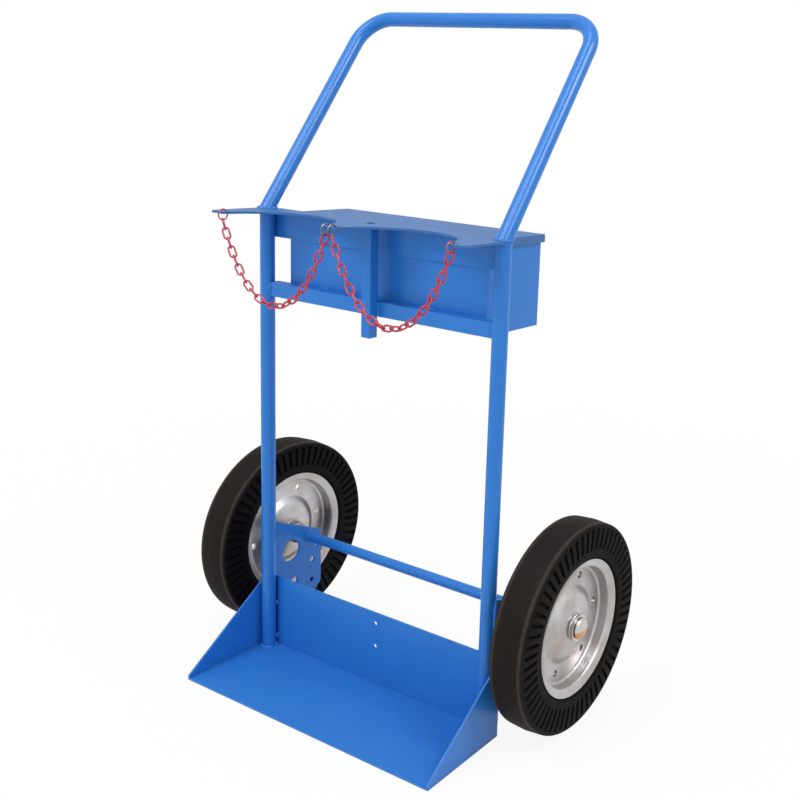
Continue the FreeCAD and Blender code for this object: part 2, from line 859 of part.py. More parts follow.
def make_roller_cage(side):
    """A sleeve with one window for each roller."""
    body = new_body(f"{side}_roller_cage")
    start, length = roller_span()
    rim = size["cage_thickness"]
    gap = size["cage_gap"]
    way = SIDES[side]
    ring = new_sketch(body, "YZ_Plane", (start - rim) * way)
    circle(ring, (ZERO, ZERO), roller_path_radius + rim / 2)
    circle(ring, (ZERO, ZERO), roller_path_radius - rim / 2)
    pad(body, ring, length + rim * 2, backward=side == "left")
    window = new_sketch(body, "XZ_Plane")
    side_x = roller_radius + gap
    ends = sorted([(start - gap) * way, (start + length + gap) * way], key=lambda end: end.value)
    rectangle(window, ends[0], -side_x, ends[1], side_x)
    cut = pocket(body, window, roller_path_radius + rim)
    polar_pattern(body, [cut], size["roller_count"])
    place_wheel_piece(body, side)


# Toolbox, lid and hinge

def make_toolbox():
    body = new_body("toolbox")
    half = box_half_width
    gauge = size["box_sheet"]
    depth = size["box_depth"]
    base = new_sketch(body, "XY_Plane")
    rectangle(base, -half, ZERO, half, depth)
    pad(body, base, box_rim - box_base)
    inside = new_sketch(body, "XY_Plane", gauge)
    rectangle(inside, gauge - half, gauge, half - gauge, depth - gauge)
    pocket(body, inside, box_rim - box_base, backward=True)
    place(body, ZERO, rail_rear, box_base)


def make_toolbox_lid():
    """A flat lid with flanges folded down at the sides and the back."""
    body = new_body("toolbox_lid")
    half = box_half_width + size["lid_side_overhang"]
    gauge = size["lid_sheet"]
    length = rail_rear + size["box_depth"] + size["lid_rear_overhang"] - lid_front
    top = new_sketch(body, "XY_Plane")
    rectangle(top, -half, ZERO, half, length)
    pad(body, top, size["lid_flange"], backward=True)
    inside = new_sketch(body, "XY_Plane", -gauge)
    rectangle(inside, gauge - half, -gauge, half - gauge, length - gauge)
    pocket(body, inside, size["lid_flange"])

    def is_top_edge(edge):
        middle = edge.CenterOfMass
        if abs(middle.z) > NEAR:
            return False
        return runs_along(edge, 1) or runs_along(edge, 0) and middle.y > NEAR

    soften(body, "Fillet", size["lid_edge_radius"], is_top_edge)
    place(body, ZERO, lid_front, lid_top)


def knuckle_pitch():
    return hinge_length / (size["hinge_lid_knuckles"] * 2 + 1)


def make_hinge_leaf(label, first_knuckle, count, leaf, tab):
    """One leaf of the long lid hinge: a strip, its knuckles and the bore for the pin."""
    body = new_body(label)
    start = -(hinge_length / 2)
    pitch = knuckle_pitch()
    knuckle_length = pitch - size["hinge_gap"]
    strip = new_sketch(body, "YZ_Plane", start)
    rectangle(strip, *leaf)
    pad(body, strip, hinge_length)
    knuckle_start = start + pitch * first_knuckle + size["hinge_gap"] / 2
    bridge = new_sketch(body, "YZ_Plane", knuckle_start)
    rectangle(bridge, *tab)
    bridge_pad = pad(body, bridge, knuckle_length)
    roll = new_sketch(body, "YZ_Plane", knuckle_start)
    circle(roll, (ZERO, ZERO), size["hinge_knuckle_radius"])
    roll_pad = pad(body, roll, knuckle_length)
    row_pattern(body, [bridge_pad, roll_pad], pitch * 2 * (count - 1), count)
    bore = new_sketch(body, "YZ_Plane")
    circle(bore, (ZERO, ZERO), size["hinge_pin_diameter"] / 2 + size["hinge_pin_gap"])
    pocket(body, bore)
    place(body, ZERO, hinge_y, hinge_z)


def make_hinge():
    gauge = size["hinge_leaf_sheet"]
    clear = size["hinge_knuckle_radius"] + size["hinge_gap"]
    wall = box_inner_front - hinge_y
    width = size["hinge_leaf_width"]
    lid_knuckles = size["hinge_lid_knuckles"]
    make_hinge_leaf("hinge_fixed_leaf", Size(0), lid_knuckles + 1,
                    (wall, -(clear + width), wall + gauge, -clear),
                    (wall, -clear, wall + gauge, ZERO))
    make_hinge_leaf("hinge_lid_leaf", Size(1), lid_knuckles,
                    (clear, -(gauge / 2), clear + width, gauge / 2),
                    (size["hinge_pin_diameter"] / 2, -(gauge / 2), clear, gauge / 2))
    pin = sub_part(doc.addObject("Part::Cylinder", "hinge_pin"), "hinge_pin")
    bind(pin, "Radius", size["hinge_pin_diameter"] / 2)
    bind(pin, "Height", hinge_length)
    pin.Placement.Rotation = FreeCAD.Rotation(FreeCAD.Vector(0, 1, 0), 90)
    place(pin, -(hinge_length / 2), hinge_y, hinge_z)


# Chains

def link_solid():
    """One chain link along X, lying in the XY plane: two straight runs and two round ends."""
    wire = size["chain_wire"].value / 2
    bend = size["chain_outer_width"].value / 2 - wire
    half_run = (size["chain_inner_length"].value / 2 + wire) - bend
    corners = []
    for number in range(WIRE_FACETS + 1):
        turn = 2 * math.pi * number / WIRE_FACETS
        corners.append(FreeCAD.Vector(-half_run, bend + wire * math.cos(turn), wire * math.sin(turn)))
    section = Part.Face(Part.makePolygon(corners))
    run = section.extrude(FreeCAD.Vector(2 * half_run, 0, 0))
    end = section.revolve(FreeCAD.Vector(-half_run, 0, 0), FreeCAD.Vector(0, 0, 1), 180)
    half_link = run.fuse(end)
    other = half_link.copy()
    other.rotate(FreeCAD.Vector(), FreeCAD.Vector(0, 0, 1), 180)
    return half_link.fuse(other).removeSplitter()


def catenary_scale(span, length):
    """The catenary parameter for a chain of this length over this span, found by halving."""
    low, high = span / SCALE_SPREAD, span * SCALE_SPREAD
    for _ in range(HALVINGS):
        middle = (low + high) / 2
        if 2 * middle * math.sinh(span / (2 * middle)) > length:
            low = middle
        else:
            high = middle
    return middle


def chain_joints(side, pitch, hook):
    """The points where the links meet, from the wire of the outer ring to that of the inner one."""
    way = SIDES[side]
    outer = chain_end_x["outer"].value
    span = outer - chain_end_x["inner"].value
    count = int(size["chain_links"].value)
    length = count * pitch - 2 * hook
    scale = catenary_scale(span, length)
    low = (ring_z - size["ring_radius"]).value - scale * math.cosh(span / (2 * scale))
    points = []
    for number in range(count + 1):
        along = max(-length / 2, min(length / 2, (number - count / 2) * pitch))
        x = outer - span / 2 - scale * math.asinh(along / scale)
        points.append(FreeCAD.Vector(way * x, ring_y.value, low + math.hypot(scale, along)))
    return points


def make_chain(side):
    """The links of one chain, each turned a quarter from the last, hung from ring to ring."""
    pitch = size["chain_inner_length"].value - size["chain_play"].value
    hook = size["ring_wire"].value / 2
    joints = chain_joints(side, pitch, hook)
    link = link_solid()
    links = []
    for number, (start, end) in enumerate(zip(joints, joints[1:])):
        along = (end - start).normalize()
        middle = end - along * (pitch / 2) if number == 0 else start + along * (pitch / 2)
        across = FreeCAD.Vector(0, 1, 0)
        if number % 2 == 0:
            across = across.cross(along)
        rotation = FreeCAD.Rotation(along, across, FreeCAD.Vector(), "XYZ")
        copy = link.copy()
        copy.Placement = FreeCAD.Placement(middle, rotation)
        links.append(copy)
    chain = sub_part(doc.addObject("Part::Feature", f"{side}_chain_links"), f"{side}_chain_links")
    chain.Shape = Part.makeCompound(links)
    for end in ("outer", "inner"):
        ring = sub_part(doc.addObject("Part::Torus", f"{side}_chain_{end}_ring"), f"{side}_chain_{end}_ring")
        bind(ring, "Radius1", size["ring_radius"])
        bind(ring, "Radius2", size["ring_wire"] / 2)
        ring.Placement.Rotation = FreeCAD.Rotation(FreeCAD.Vector(0, 1, 0), 90)
        place(ring, chain_end_x[end] * SIDES[side], ring_y, ring_z)


def build():
    for side in SIDES:
        make_upright(side)
        make_gusset(side)
        make_axle_bracket(side)
    make_handle()
    make_collar_plate()
    make_top_rail()
    make_lower_rail()
    make_centre_post()
    make_foot_tray()
    make_axle()
    for side in SIDES:
        make_ring(f"{side}_spacer", side, gusset_inner_x, size["spacer_length"], size["spacer_diameter"])
        make_ring(f"{side}_washer", side, washer_x, size["washer_thickness"], size["washer_diameter"])
        make_axle_cap(side)
        make_tyre(side)
        for half in RIM_HALVES:
            make_rim_half(side, half)
        make_hub(side)
        make_rollers(side)
        make_roller_cage(side)
    make_toolbox()
    make_toolbox_lid()
    make_hinge()
    for side in SIDES:
        make_chain(side)
    doc.recompute()


def check():
    """Stops before anything is written if an object failed or a piece has no sound solid."""
    for item in doc.Objects:
        if "Invalid" in item.State or "Error" in item.State:
            raise RuntimeError(f"{item.Name} failed: {item.State}")
    for item in sub_parts:
        if item.Shape.isNull() or not item.Shape.isValid() or not item.Shape.Solids:
            raise RuntimeError(f"{item.Label} has no valid solid")


def write():
    os.makedirs("parts", exist_ok=True)
    for item in sub_parts:
        item.Shape.exportStep(os.path.join("parts", f"{item.Label}.step"))


build()
check()
write()
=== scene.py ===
import math

import bmesh
import bpy
import numpy as np
from mathutils import Matrix, Quaternion, Vector


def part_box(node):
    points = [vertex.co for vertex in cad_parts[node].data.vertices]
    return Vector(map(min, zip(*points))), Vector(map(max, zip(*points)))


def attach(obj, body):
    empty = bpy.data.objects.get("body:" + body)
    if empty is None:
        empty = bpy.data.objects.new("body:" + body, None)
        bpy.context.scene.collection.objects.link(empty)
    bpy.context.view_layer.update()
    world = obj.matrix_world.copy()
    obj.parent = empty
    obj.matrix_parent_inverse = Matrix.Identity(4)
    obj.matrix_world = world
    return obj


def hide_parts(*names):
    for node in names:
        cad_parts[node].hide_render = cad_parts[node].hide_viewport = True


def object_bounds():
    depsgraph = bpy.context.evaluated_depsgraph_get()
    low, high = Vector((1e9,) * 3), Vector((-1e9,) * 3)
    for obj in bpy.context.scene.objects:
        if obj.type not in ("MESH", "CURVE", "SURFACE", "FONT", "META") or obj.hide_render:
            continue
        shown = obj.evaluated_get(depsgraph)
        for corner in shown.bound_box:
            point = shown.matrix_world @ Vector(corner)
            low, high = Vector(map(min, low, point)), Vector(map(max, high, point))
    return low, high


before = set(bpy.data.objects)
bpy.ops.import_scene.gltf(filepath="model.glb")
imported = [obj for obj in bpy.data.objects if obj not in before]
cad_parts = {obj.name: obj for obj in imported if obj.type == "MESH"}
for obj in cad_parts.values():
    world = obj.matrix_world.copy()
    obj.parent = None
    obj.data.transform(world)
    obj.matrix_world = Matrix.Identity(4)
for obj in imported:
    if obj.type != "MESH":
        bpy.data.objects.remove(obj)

bl_info = {
    "name": "Gas cylinder trolley",
    "version": (1, 0, 0),
    "blender": (4, 5, 0),
    "location": "3D View > Sidebar > Trolley",
    "description": "Dresses a two-cylinder trolley: enamelled steel frame, rubber wheels and red chains",
    "category": "Object",
}

MM = 0.001
SIDES = {"left": -1, "right": 1}
RIM_HALVES = {"inner": -1, "outer": 1}
JOIN = 1e-6
SMOOTH_ANGLE = math.radians(35)
EDGE_STEPS = 3
WHITE = (1.0, 1.0, 1.0, 1.0)

cad_low, cad_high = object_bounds()


# Places read from the frame

def middle(node):
    low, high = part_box(node)
    return (low + high) / 2


def extent(node):
    low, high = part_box(node)
    return high - low


TUBE_RADIUS = extent("right_upright").x / 2
UPRIGHT_X = middle("right_upright").x
FLOOR_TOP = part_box("right_upright")[0].z
PLATE_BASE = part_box("collar_plate")[0].z
PLATE_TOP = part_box("collar_plate")[1].z
AXLE = middle("axle")
WHEEL_X = middle("right_tyre").x
WHEEL_RADIUS = extent("right_tyre").z / 2
TYRE_HALF = extent("right_tyre").x / 2
RIM_HALF = extent("right_rim_outer").x
LIP_RADIUS = extent("right_rim_outer").z / 2


def linear(code):
    """An sRGB hex colour as the linear red, green and blue that the shaders take."""
    parts = [int(code[start:start + 2], 16) / 255 for start in (1, 3, 5)]
    return tuple(part / 12.92 if part <= 0.04045 else ((part + 0.055) / 1.055) ** 2.4 for part in parts)


# Settings that a user would change

def length(name, description, millimetres):
    return bpy.props.FloatProperty(
        name=name, description=description, default=millimetres * MM, min=0.0, precision=5, unit="LENGTH")


def count(name, description, number):
    return bpy.props.IntProperty(name=name, description=description, default=number, min=3)


def colour(name, description, code):
    return bpy.props.FloatVectorProperty(
        name=name, description=description, default=linear(code), min=0.0, max=1.0, size=3, subtype="COLOR")


def angle(name, description, degrees):
    return bpy.props.FloatProperty(
        name=name, description=description, default=math.radians(degrees), subtype="ANGLE")


def amount(name, description, number, unit="NONE"):
    return bpy.props.FloatProperty(name=name, description=description, default=number, min=0.0, unit=unit)


def position(name, description, place):
    return bpy.props.FloatVectorProperty(
        name=name, description=description, default=place, subtype="XYZ", unit="LENGTH")


class TrolleySizes(bpy.types.PropertyGroup):
    """Sizes of details that the frame's boxes do not give."""

    broken_edge: length("Broken edge", "Round on the cut edges of the steel", 0.6)
    plate_edge: length("Plate edge", "Round on the edges of the collar plate", 1.8)
    bracket_lap: length("Bracket lap", "How far a bracket reaches in front of the tubes' middle", 1.0)
    recess_reach: length("Recess reach", "Reach of the wall's recess, in from an upright's middle", 10.5)
    recess_skin: length("Recess skin", "What is left of the wall at the back of its recess", 0.6)
    tube_sides: count("Tube sides", "Faces round a frame tube", 48)
    bend_steps: count("Bend steps", "Rings along each tube bend", 16)
    handle_corner_radius: length("Handle corner radius", "Bend at each end of the grip bar", 60.0)
    weld_width: length("Weld width", "Width of a full weld bead", 6.5)
    foot_weld_width: length("Foot weld width", "Width of the bead round the handle's feet", 6.0)
    weld_ripple: length("Weld ripple", "Spacing of the ripples in a weld bead", 3.2)
    chain_wire: length("Chain wire", "Thickness of the chain wire", 3.2)
    chain_link_length: length("Chain link length", "Outside length of one link", 23.4)
    chain_link_width: length("Chain link width", "Outside width of one link", 13.6)
    chain_roll: angle("Chain roll", "Turn of the links about the chain's run", 45)
    ring_wire: length("Ring wire", "Thickness of the wire of the end rings", 2.4)


class WheelSizes(bpy.types.PropertyGroup):
    """Sizes of the tyre's mould and the pressed rim."""

    turn_steps: count("Turn steps", "Faces round a rim or a hub", 128)
    slot_count: count("Sidewall slots", "Slots round each sidewall", 60)
    slot_width: length("Slot width", "Width of a sidewall slot at its outer end", 6.6)
    slot_depth: length("Slot depth", "Depth of a sidewall slot", 5.0)
    slot_edge: length("Slot edge", "Round at the mouth of a slot", 0.8)
    slot_inner: length("Slot inner radius", "Where a slot starts, from the axle", 141.5)
    slot_outer: length("Slot outer radius", "Where a slot ends, from the axle", 180.0)
    wall_bulge: length("Sidewall bulge", "How far the sidewall stands out at its middle", 1.2)
    shoulder_radius: length("Shoulder radius", "Round between tread and sidewall", 6.0)
    tread_crown: length("Tread crown", "Rise of the tread at its middle", 2.0)
    groove_count: count("Tread grooves", "Grooves on each half of the tread", 4)
    groove_pitch: length("Groove pitch", "Spacing of the grooves round the tread", 6.0)
    groove_width: length("Groove width", "Width of a tread groove", 1.2)
    groove_depth: length("Groove depth", "Depth of a tread groove", 0.35)
    bead_radius: length("Bead radius", "Where the tyre meets the rim's lip", 126.0)
    rim_sheet: length("Rim sheet", "Thickness of the pressed rim", 3.0)
    barrel_radius: length("Barrel radius", "Middle of the rim's barrel", 109.5)
    lip_foot: length("Lip foot", "Where the lip meets the barrel, from the wheel's middle", 24.0)
    lip_bend: length("Lip bend", "Round between the barrel and its lip", 4.0)
    disc_bend: length("Disc bend", "Round between the disc and the barrel", 7.0)
    dome_foot: length("Dome foot", "Radius where the disc starts to dome", 70.0)
    dome_shoulder: length("Dome shoulder", "Radius where the dome's wall turns over", 55.0)
    shoulder_depth: length("Shoulder depth", "How far the dome's wall stands out there", 13.5)
    dome_depth: length("Dome depth", "How far the dome stands out at the hub", 19.0)
    dome_bend: length("Dome bend", "Round at the foot of the dome", 8.0)
    crown_bend: length("Crown bend", "Round at the dome's shoulder", 24.0)
    hub_radius: length("Hub radius", "Outside radius of the hub tube", 22.0)
    hub_bore: length("Hub bore", "Radius of the hub's bore", 15.1)
    hole_count: count("Disc holes", "Holes round the disc", 6)
    hole_diameter: length("Disc hole", "Diameter of a hole in the disc", 13.0)
    hole_circle: length("Hole circle", "Radius of the circle of holes", 88.0)
    hole_turn: angle("Hole turn", "Turn of the first hole", 8)


class TrolleyColours(bpy.types.PropertyGroup):
    """Colours of the finishes."""

    enamel: colour("Enamel", "Blue of the frame", "#2C7CD3")
    enamel_deep: colour("Deep enamel", "Blue where the coat is thicker", "#2474C5")
    # The dulled blues are darker, greyer copies of the frame's blue for the plate and the lid: painted
    # shade, with some dust and handling
    dulled_and_shaded: colour("Dulled enamel", "Blue of the plate and the lid, dulled by dust and handling", "#366CAB")
    dulled_and_shaded_deep: colour("Deep dulled enamel", "Dulled blue where the coat is thicker", "#30639F")
    rubber: colour("Rubber", "Black of the tyres", "#100F11")
    rubber_dust: colour("Dusty rubber", "Brown of the worn tread", "#231E1B")
    rubber_edge: colour("Rubbed rubber", "Brown along the edges of the tread", "#3F3832")
    zinc: colour("Zinc", "Cool grey of the rims", "#C9CACF")
    zinc_warm: colour("Warm zinc", "Grey where the passivation is thicker", "#A69B91")
    chain: colour("Chain", "Red of the chains", "#D02C46")
    chain_deep: colour("Deep chain", "Red in the hollows of the chains", "#A81C34")
    steel: colour("Steel", "Bright steel of spacers, washers and caps", "#C9C6C2")
    # Caps: the warm brown painted on the lower half of the axle caps, a painted reflection of a brown floor
    cap_painted_reflection: colour("Caps", "Yellow passivation of the axle caps", "#C8976A")
    bearing: colour("Bearing steel", "Steel of rollers, cages and inner rings", "#807E7C")
    floor: colour("Floor", "Pale floor", "#F4F4F4")


class StageSettings(bpy.types.PropertyGroup):
    """Camera and light."""

    eye: position("Camera", "Where the camera stands", (1.2181, -1.3524, 1.0683))
    aim: position("Aim", "Point on the camera's axis", (0.4494, 0.0, 0.7357))
    roll: angle("Roll", "Turn about the camera's axis", 3.649)
    lens: amount("Lens", "Focal length in millimetres", 47.125, "CAMERA")
    shift: bpy.props.FloatVectorProperty(
        name="Shift", description="Lens shift", default=(-0.25, -0.0721), size=2)
    key_power: amount("Key power", "Watts of the large lamp overhead", 42.0, "POWER")
    fill_power: amount("Fill power", "Watts of the lamp at the right", 16.0, "POWER")
    panel_power: amount(
        "Panel power", "Watts of each long panel that shows in gloss alone", 55.0, "POWER")
    key_size: length("Key size", "Side of the lamp overhead", 1200.0)
    fill_size: length("Fill size", "Side of the lamp at the right", 500.0)
    panel_width: length("Panel width", "Short side of a panel", 1000.0)
    panel_length: length("Panel length", "Long side of a panel", 2400.0)
    floor_reach: length("Floor reach", "Half the width of the floor", 30000.0)
    shadow_reach: length("Shadow reach", "Where the floor has faded to plain white", 2700.0)
    floor_glow: bpy.props.FloatProperty(
        name="Floor glow", description="Share of plain white in the floor near the trolley",
        default=0.9, min=0.0, max=1.0, subtype="FACTOR")
    sky: amount("Sky", "Strength of the light from all round", 0.78)


# Meshes

def bent_path(points, radii, steps):
    """Straight runs between points, with each inner corner rounded to its radius."""
    points = [Vector(point) for point in points]
    path = [points[0]]
    for before, corner, after, radius in zip(points, points[1:], points[2:], radii):
        back = (before - corner).normalized()
        onward = (after - corner).normalized()
        half = back.angle(onward) / 2
        centre = corner + (back + onward).normalized() * (radius / math.sin(half))
        start = corner + back * (radius / math.tan(half))
        turn_axis = back.cross(onward)
        for step in range(steps + 1):
            turn = (2 * half - math.pi) * step / steps
            path.append(centre + Quaternion(turn_axis, turn) @ (start - centre))
    path.append(points[-1])
    return path


def unit_rows(rows):
    return rows / np.linalg.norm(rows, axis=1)[:, None]


def sheet_section(line, thickness):
    """The closed section of a bent sheet whose middle follows a line in the XY plane."""
    points = np.array([(point[0], point[1]) for point in line])
    runs = unit_rows(np.diff(points, axis=0))
    ways = unit_rows(np.vstack([runs[:1], runs[:-1] + runs[1:], runs[-1:]]))
    across = np.column_stack([-ways[:, 1], ways[:, 0]]) * thickness / 2
    return np.vstack([points + across, (points - across)[::-1]])


def spaced(path, spacing, closed=False):
    """Points along a path, evenly spaced at about the given spacing."""
    points = np.array([tuple(point) for point in path])
    if closed:
        points = np.vstack([points, points[:1]])
    reach = np.concatenate([[0], np.cumsum(np.linalg.norm(np.diff(points, axis=0), axis=1))])
    number = max(3, round(reach[-1] / spacing))
    marks = np.linspace(0, reach[-1], number + 1)
    if closed:
        marks = marks[:-1]
    return np.column_stack([np.interp(marks, reach, points[:, axis]) for axis in range(3)])


def ring_path(centre, radius, axis, start=0.0, end=360.0, steps=48):
    """Points round an arc about X, Y or Z, numbered 0 to 2, with its angles in degrees."""
    turns = np.radians(np.linspace(start, end, steps + 1))
    points = np.tile(np.array(centre, float), (len(turns), 1))
    points[:, (axis + 1) % 3] += radius * np.cos(turns)
    points[:, (axis + 2) % 3] += radius * np.sin(turns)
    return points[:-1] if end - start == 360.0 else points


def bar_rings(path, radius, sides, closed=False):
    """Rings of points round a bar that follows a path; radius is one number or one for each point."""
    points = np.array([tuple(point) for point in path], float)
    runs = np.roll(points, -1, axis=0) - points
    if not closed:
        runs[-1] = runs[-2]
    runs = unit_rows(runs)
    before = np.roll(runs, 1, axis=0)
    if not closed:
        before[0] = runs[0]
    ways = unit_rows(runs + before)
    radii = np.broadcast_to(radius, len(points))
    turns = np.linspace(0, 2 * math.pi, sides, endpoint=False)
    normal = np.eye(3)[np.argmin(np.abs(ways[0]))]
    rings = []
    for point, way, reach in zip(points, ways, radii):
        normal = normal - way * (normal @ way)
        normal = normal / np.linalg.norm(normal)
        across = np.cross(way, normal)
        rings.append(point + reach * (np.outer(np.cos(turns), normal) + np.outer(np.sin(turns), across)))
    return np.array(rings)


def turned_rings(section, steps, centre, way=1):
    """Rings of a closed section of (along, radius) points, turned about an axle along X."""
    section = np.array(section)
    turns = np.linspace(0, 2 * math.pi, steps, endpoint=False)
    grid = np.empty((steps, len(section), 3))
    grid[..., 0] = section[:, 0] * way
    grid[..., 1] = np.outer(np.cos(turns), section[:, 1])
    grid[..., 2] = np.outer(np.sin(turns), section[:, 1])
    return grid + np.array(centre)


def add_grid(shape, grid, closed):
    """Skins rings of points into a bmesh, the last joined to the first, or both ends capped."""
    rings, across, _ = grid.shape
    verts = [[shape.verts.new(point) for point in ring] for ring in grid]
    for number in range(rings if closed else rings - 1):
        near, far = verts[number], verts[(number + 1) % rings]
        for place in range(across):
            after = (place + 1) % across
            shape.faces.new((near[place], near[after], far[after], far[place]))
    if not closed:
        shape.faces.new(reversed(verts[0]))
        shape.faces.new(verts[-1])


def finished_mesh(name, shape):
    """Closes a bmesh into a mesh with outward faces, smooth but for its sharp edges."""
    bmesh.ops.remove_doubles(shape, verts=shape.verts, dist=JOIN)
    bmesh.ops.dissolve_degenerate(shape, edges=shape.edges, dist=JOIN)
    bmesh.ops.recalc_face_normals(shape, faces=shape.faces)
    mesh = bpy.data.meshes.new(name)
    shape.to_mesh(mesh)
    shape.free()
    mesh.shade_smooth()
    mesh.set_sharp_from_angle(angle=SMOOTH_ANGLE)
    return mesh


def grid_mesh(name, grids, closed=True):
    """One mesh that skins each grid of rings."""
    shape = bmesh.new()
    for grid in grids:
        add_grid(shape, grid, closed)
    return finished_mesh(name, shape)


def add_piece(name, mesh, finish, body, stands_for=()):
    """Puts a mesh in the scene as a piece that rides a body of the frame."""
    piece = bpy.data.objects.new(name, mesh)
    bpy.context.scene.collection.objects.link(piece)
    mesh.materials.clear()
    mesh.materials.append(finish)
    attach(piece, body)
    if stands_for:
        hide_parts(*stands_for)
    return piece


def add_skinned(name, grids, finish, body, stands_for=(), closed=True):
    """Skins rings of points and puts them in the scene as one piece."""
    add_piece(name, grid_mesh(name, grids, closed), finish, body, stands_for)


def cut_holes(mesh, cutter_mesh):
    """Cuts one mesh out of another."""
    body = bpy.data.objects.new("cut_body", mesh)
    cutter = bpy.data.objects.new("cutter", cutter_mesh)
    for item in (body, cutter):
        bpy.context.scene.collection.objects.link(item)
    cut = body.modifiers.new("holes", "BOOLEAN")
    cut.operation = "DIFFERENCE"
    cut.object = cutter
    cut.solver = "EXACT"
    evaluated = body.evaluated_get(bpy.context.evaluated_depsgraph_get())
    result = bpy.data.meshes.new_from_object(evaluated)
    result.name = mesh.name
    for item in (body, cutter):
        bpy.data.objects.remove(item)
    result.shade_smooth()
    result.set_sharp_from_angle(angle=SMOOTH_ANGLE)
    return result


def box_rings(low, high):
    """The two square ends of a box, for cutting with."""
    square = [(low[1], low[2]), (high[1], low[2]), (high[1], high[2]), (low[1], high[2])]
    return np.array([[(x, y, z) for y, z in square] for x in (low[0], high[0])])


def trimmed_mesh(node, boxes):
    """A copy of a node's mesh with boxes cut away."""
    shape = bmesh.new()
    shape.from_mesh(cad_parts[node].data)
    cutters = grid_mesh("trim_cutters", [box_rings(*box) for box in boxes], closed=False)
    return cut_holes(finished_mesh(f"{node}_trimmed", shape), cutters)


def dress(node, finish, edge=0.0):
    """Gives a node of the frame its finish and, where an edge is given, breaks its sharp edges."""
    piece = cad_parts[node]
    piece.data.materials.clear()
    piece.data.materials.append(finish)
    if edge:
        break_edges(piece, edge)


def break_edges(piece, edge):
    """Rounds the sharp edges of a piece and keeps its faces flat."""
    weld = piece.modifiers.new("joined corners", "WELD")
    weld.merge_threshold = JOIN
    bevel = piece.modifiers.new("broken edges", "BEVEL")
    bevel.width = edge
    bevel.segments = EDGE_STEPS
    bevel.limit_method = "ANGLE"
    bevel.angle_limit = SMOOTH_ANGLE
    bevel.harden_normals = False
    normals = piece.modifiers.new("flat faces", "WEIGHTED_NORMAL")
    normals.keep_sharp = False
    normals.weight = 100


# Finishes

def add_node(tree, kind, settings=None, links=None, feeds=None):
    """Adds one shader node, sets its inputs and properties, and links it.

    links maps its inputs to what feeds them, a socket or a node's first output, and its own first
    output goes to the socket that it feeds.
    """
    node = tree.nodes.new(kind)
    for name, value in (settings or {}).items():
        if name in node.inputs:
            node.inputs[name].default_value = value
        else:
            setattr(node, name, value)
    for name, source in (links or {}).items():
        socket = source if isinstance(source, bpy.types.NodeSocket) else source.outputs[0]
        tree.links.new(socket, node.inputs[name])
    if feeds is not None:
        tree.links.new(node.outputs[0], feeds)
    return node


def opaque(rgb):
    return (*rgb, 1.0)


def new_finish(name, settings):
    """A new material, its node tree, its shader with constant inputs set, and the place on the piece."""
    material = bpy.data.materials.new(name)
    material.use_nodes = True
    tree = material.node_tree
    shader = tree.nodes["Principled BSDF"]
    for socket, value in settings.items():
        shader.inputs[socket].default_value = value
    place = add_node(tree, "ShaderNodeTexCoord").outputs["Object"]
    return material, tree, shader, place


def enamel(name, deep, bright):
    """Enamel sprayed over welded mild steel: a glossy skin, a little uneven in tone and gloss."""
    material, tree, shader, place = new_finish(name, {"IOR": 1.5, "Specular IOR Level": 0.3})
    # Slow changes of film thickness, about a hand's width across
    cloud = add_node(tree, "ShaderNodeTexNoise",
                     {"Scale": 1 / (110 * MM), "Detail": 3.0}, {"Vector": place})
    add_node(tree, "ShaderNodeMixRGB", {"Color1": opaque(deep), "Color2": opaque(bright)},
             {"Fac": cloud}, shader.inputs["Base Color"])
    # Overspray leaves patches of duller gloss, about 25 mm across
    patch = add_node(tree, "ShaderNodeTexNoise",
                     {"Scale": 1 / (25 * MM), "Detail": 4.0}, {"Vector": place})
    gloss = add_node(tree, "ShaderNodeMapRange", {"To Min": 0.2, "To Max": 0.34}, {"Value": patch})
    # Dust settles on the faces that look up, and dulls them
    facing = add_node(tree, "ShaderNodeNewGeometry").outputs["Normal"]
    upward = add_node(tree, "ShaderNodeSeparateXYZ", links={"Vector": facing})
    dusty = add_node(tree, "ShaderNodeMapRange",
                     {"From Min": 0.8, "From Max": 1.0, "To Min": 0.0, "To Max": 0.25},
                     {"Value": upward.outputs["Z"]})
    add_node(tree, "ShaderNodeMath", {"operation": "ADD"}, {0: gloss, 1: dusty}, shader.inputs["Roughness"])
    # Orange peel, really 1 mm across, drawn at 8 mm so that the streaks of light waver slowly
    peel = add_node(tree, "ShaderNodeTexNoise", {"Scale": 1 / (8 * MM), "Detail": 0.0}, {"Vector": place})
    add_node(tree, "ShaderNodeBump", {"Strength": 0.03, "Distance": 0.01 * MM},
             {"Height": peel}, shader.inputs["Normal"])
    return material


def blue_enamel(colours):
    """The frame's clean blue."""
    return enamel("blue_enamel", colours.enamel_deep, colours.enamel)


def dulled_and_shaded_enamel(colours):
    """The same blue made darker and greyer for the plate and the lid: painted shade where they take less
    light, with some dust where things are laid down.
    """
    return enamel("dulled_and_shaded_enamel", colours.dulled_and_shaded_deep, colours.dulled_and_shaded)


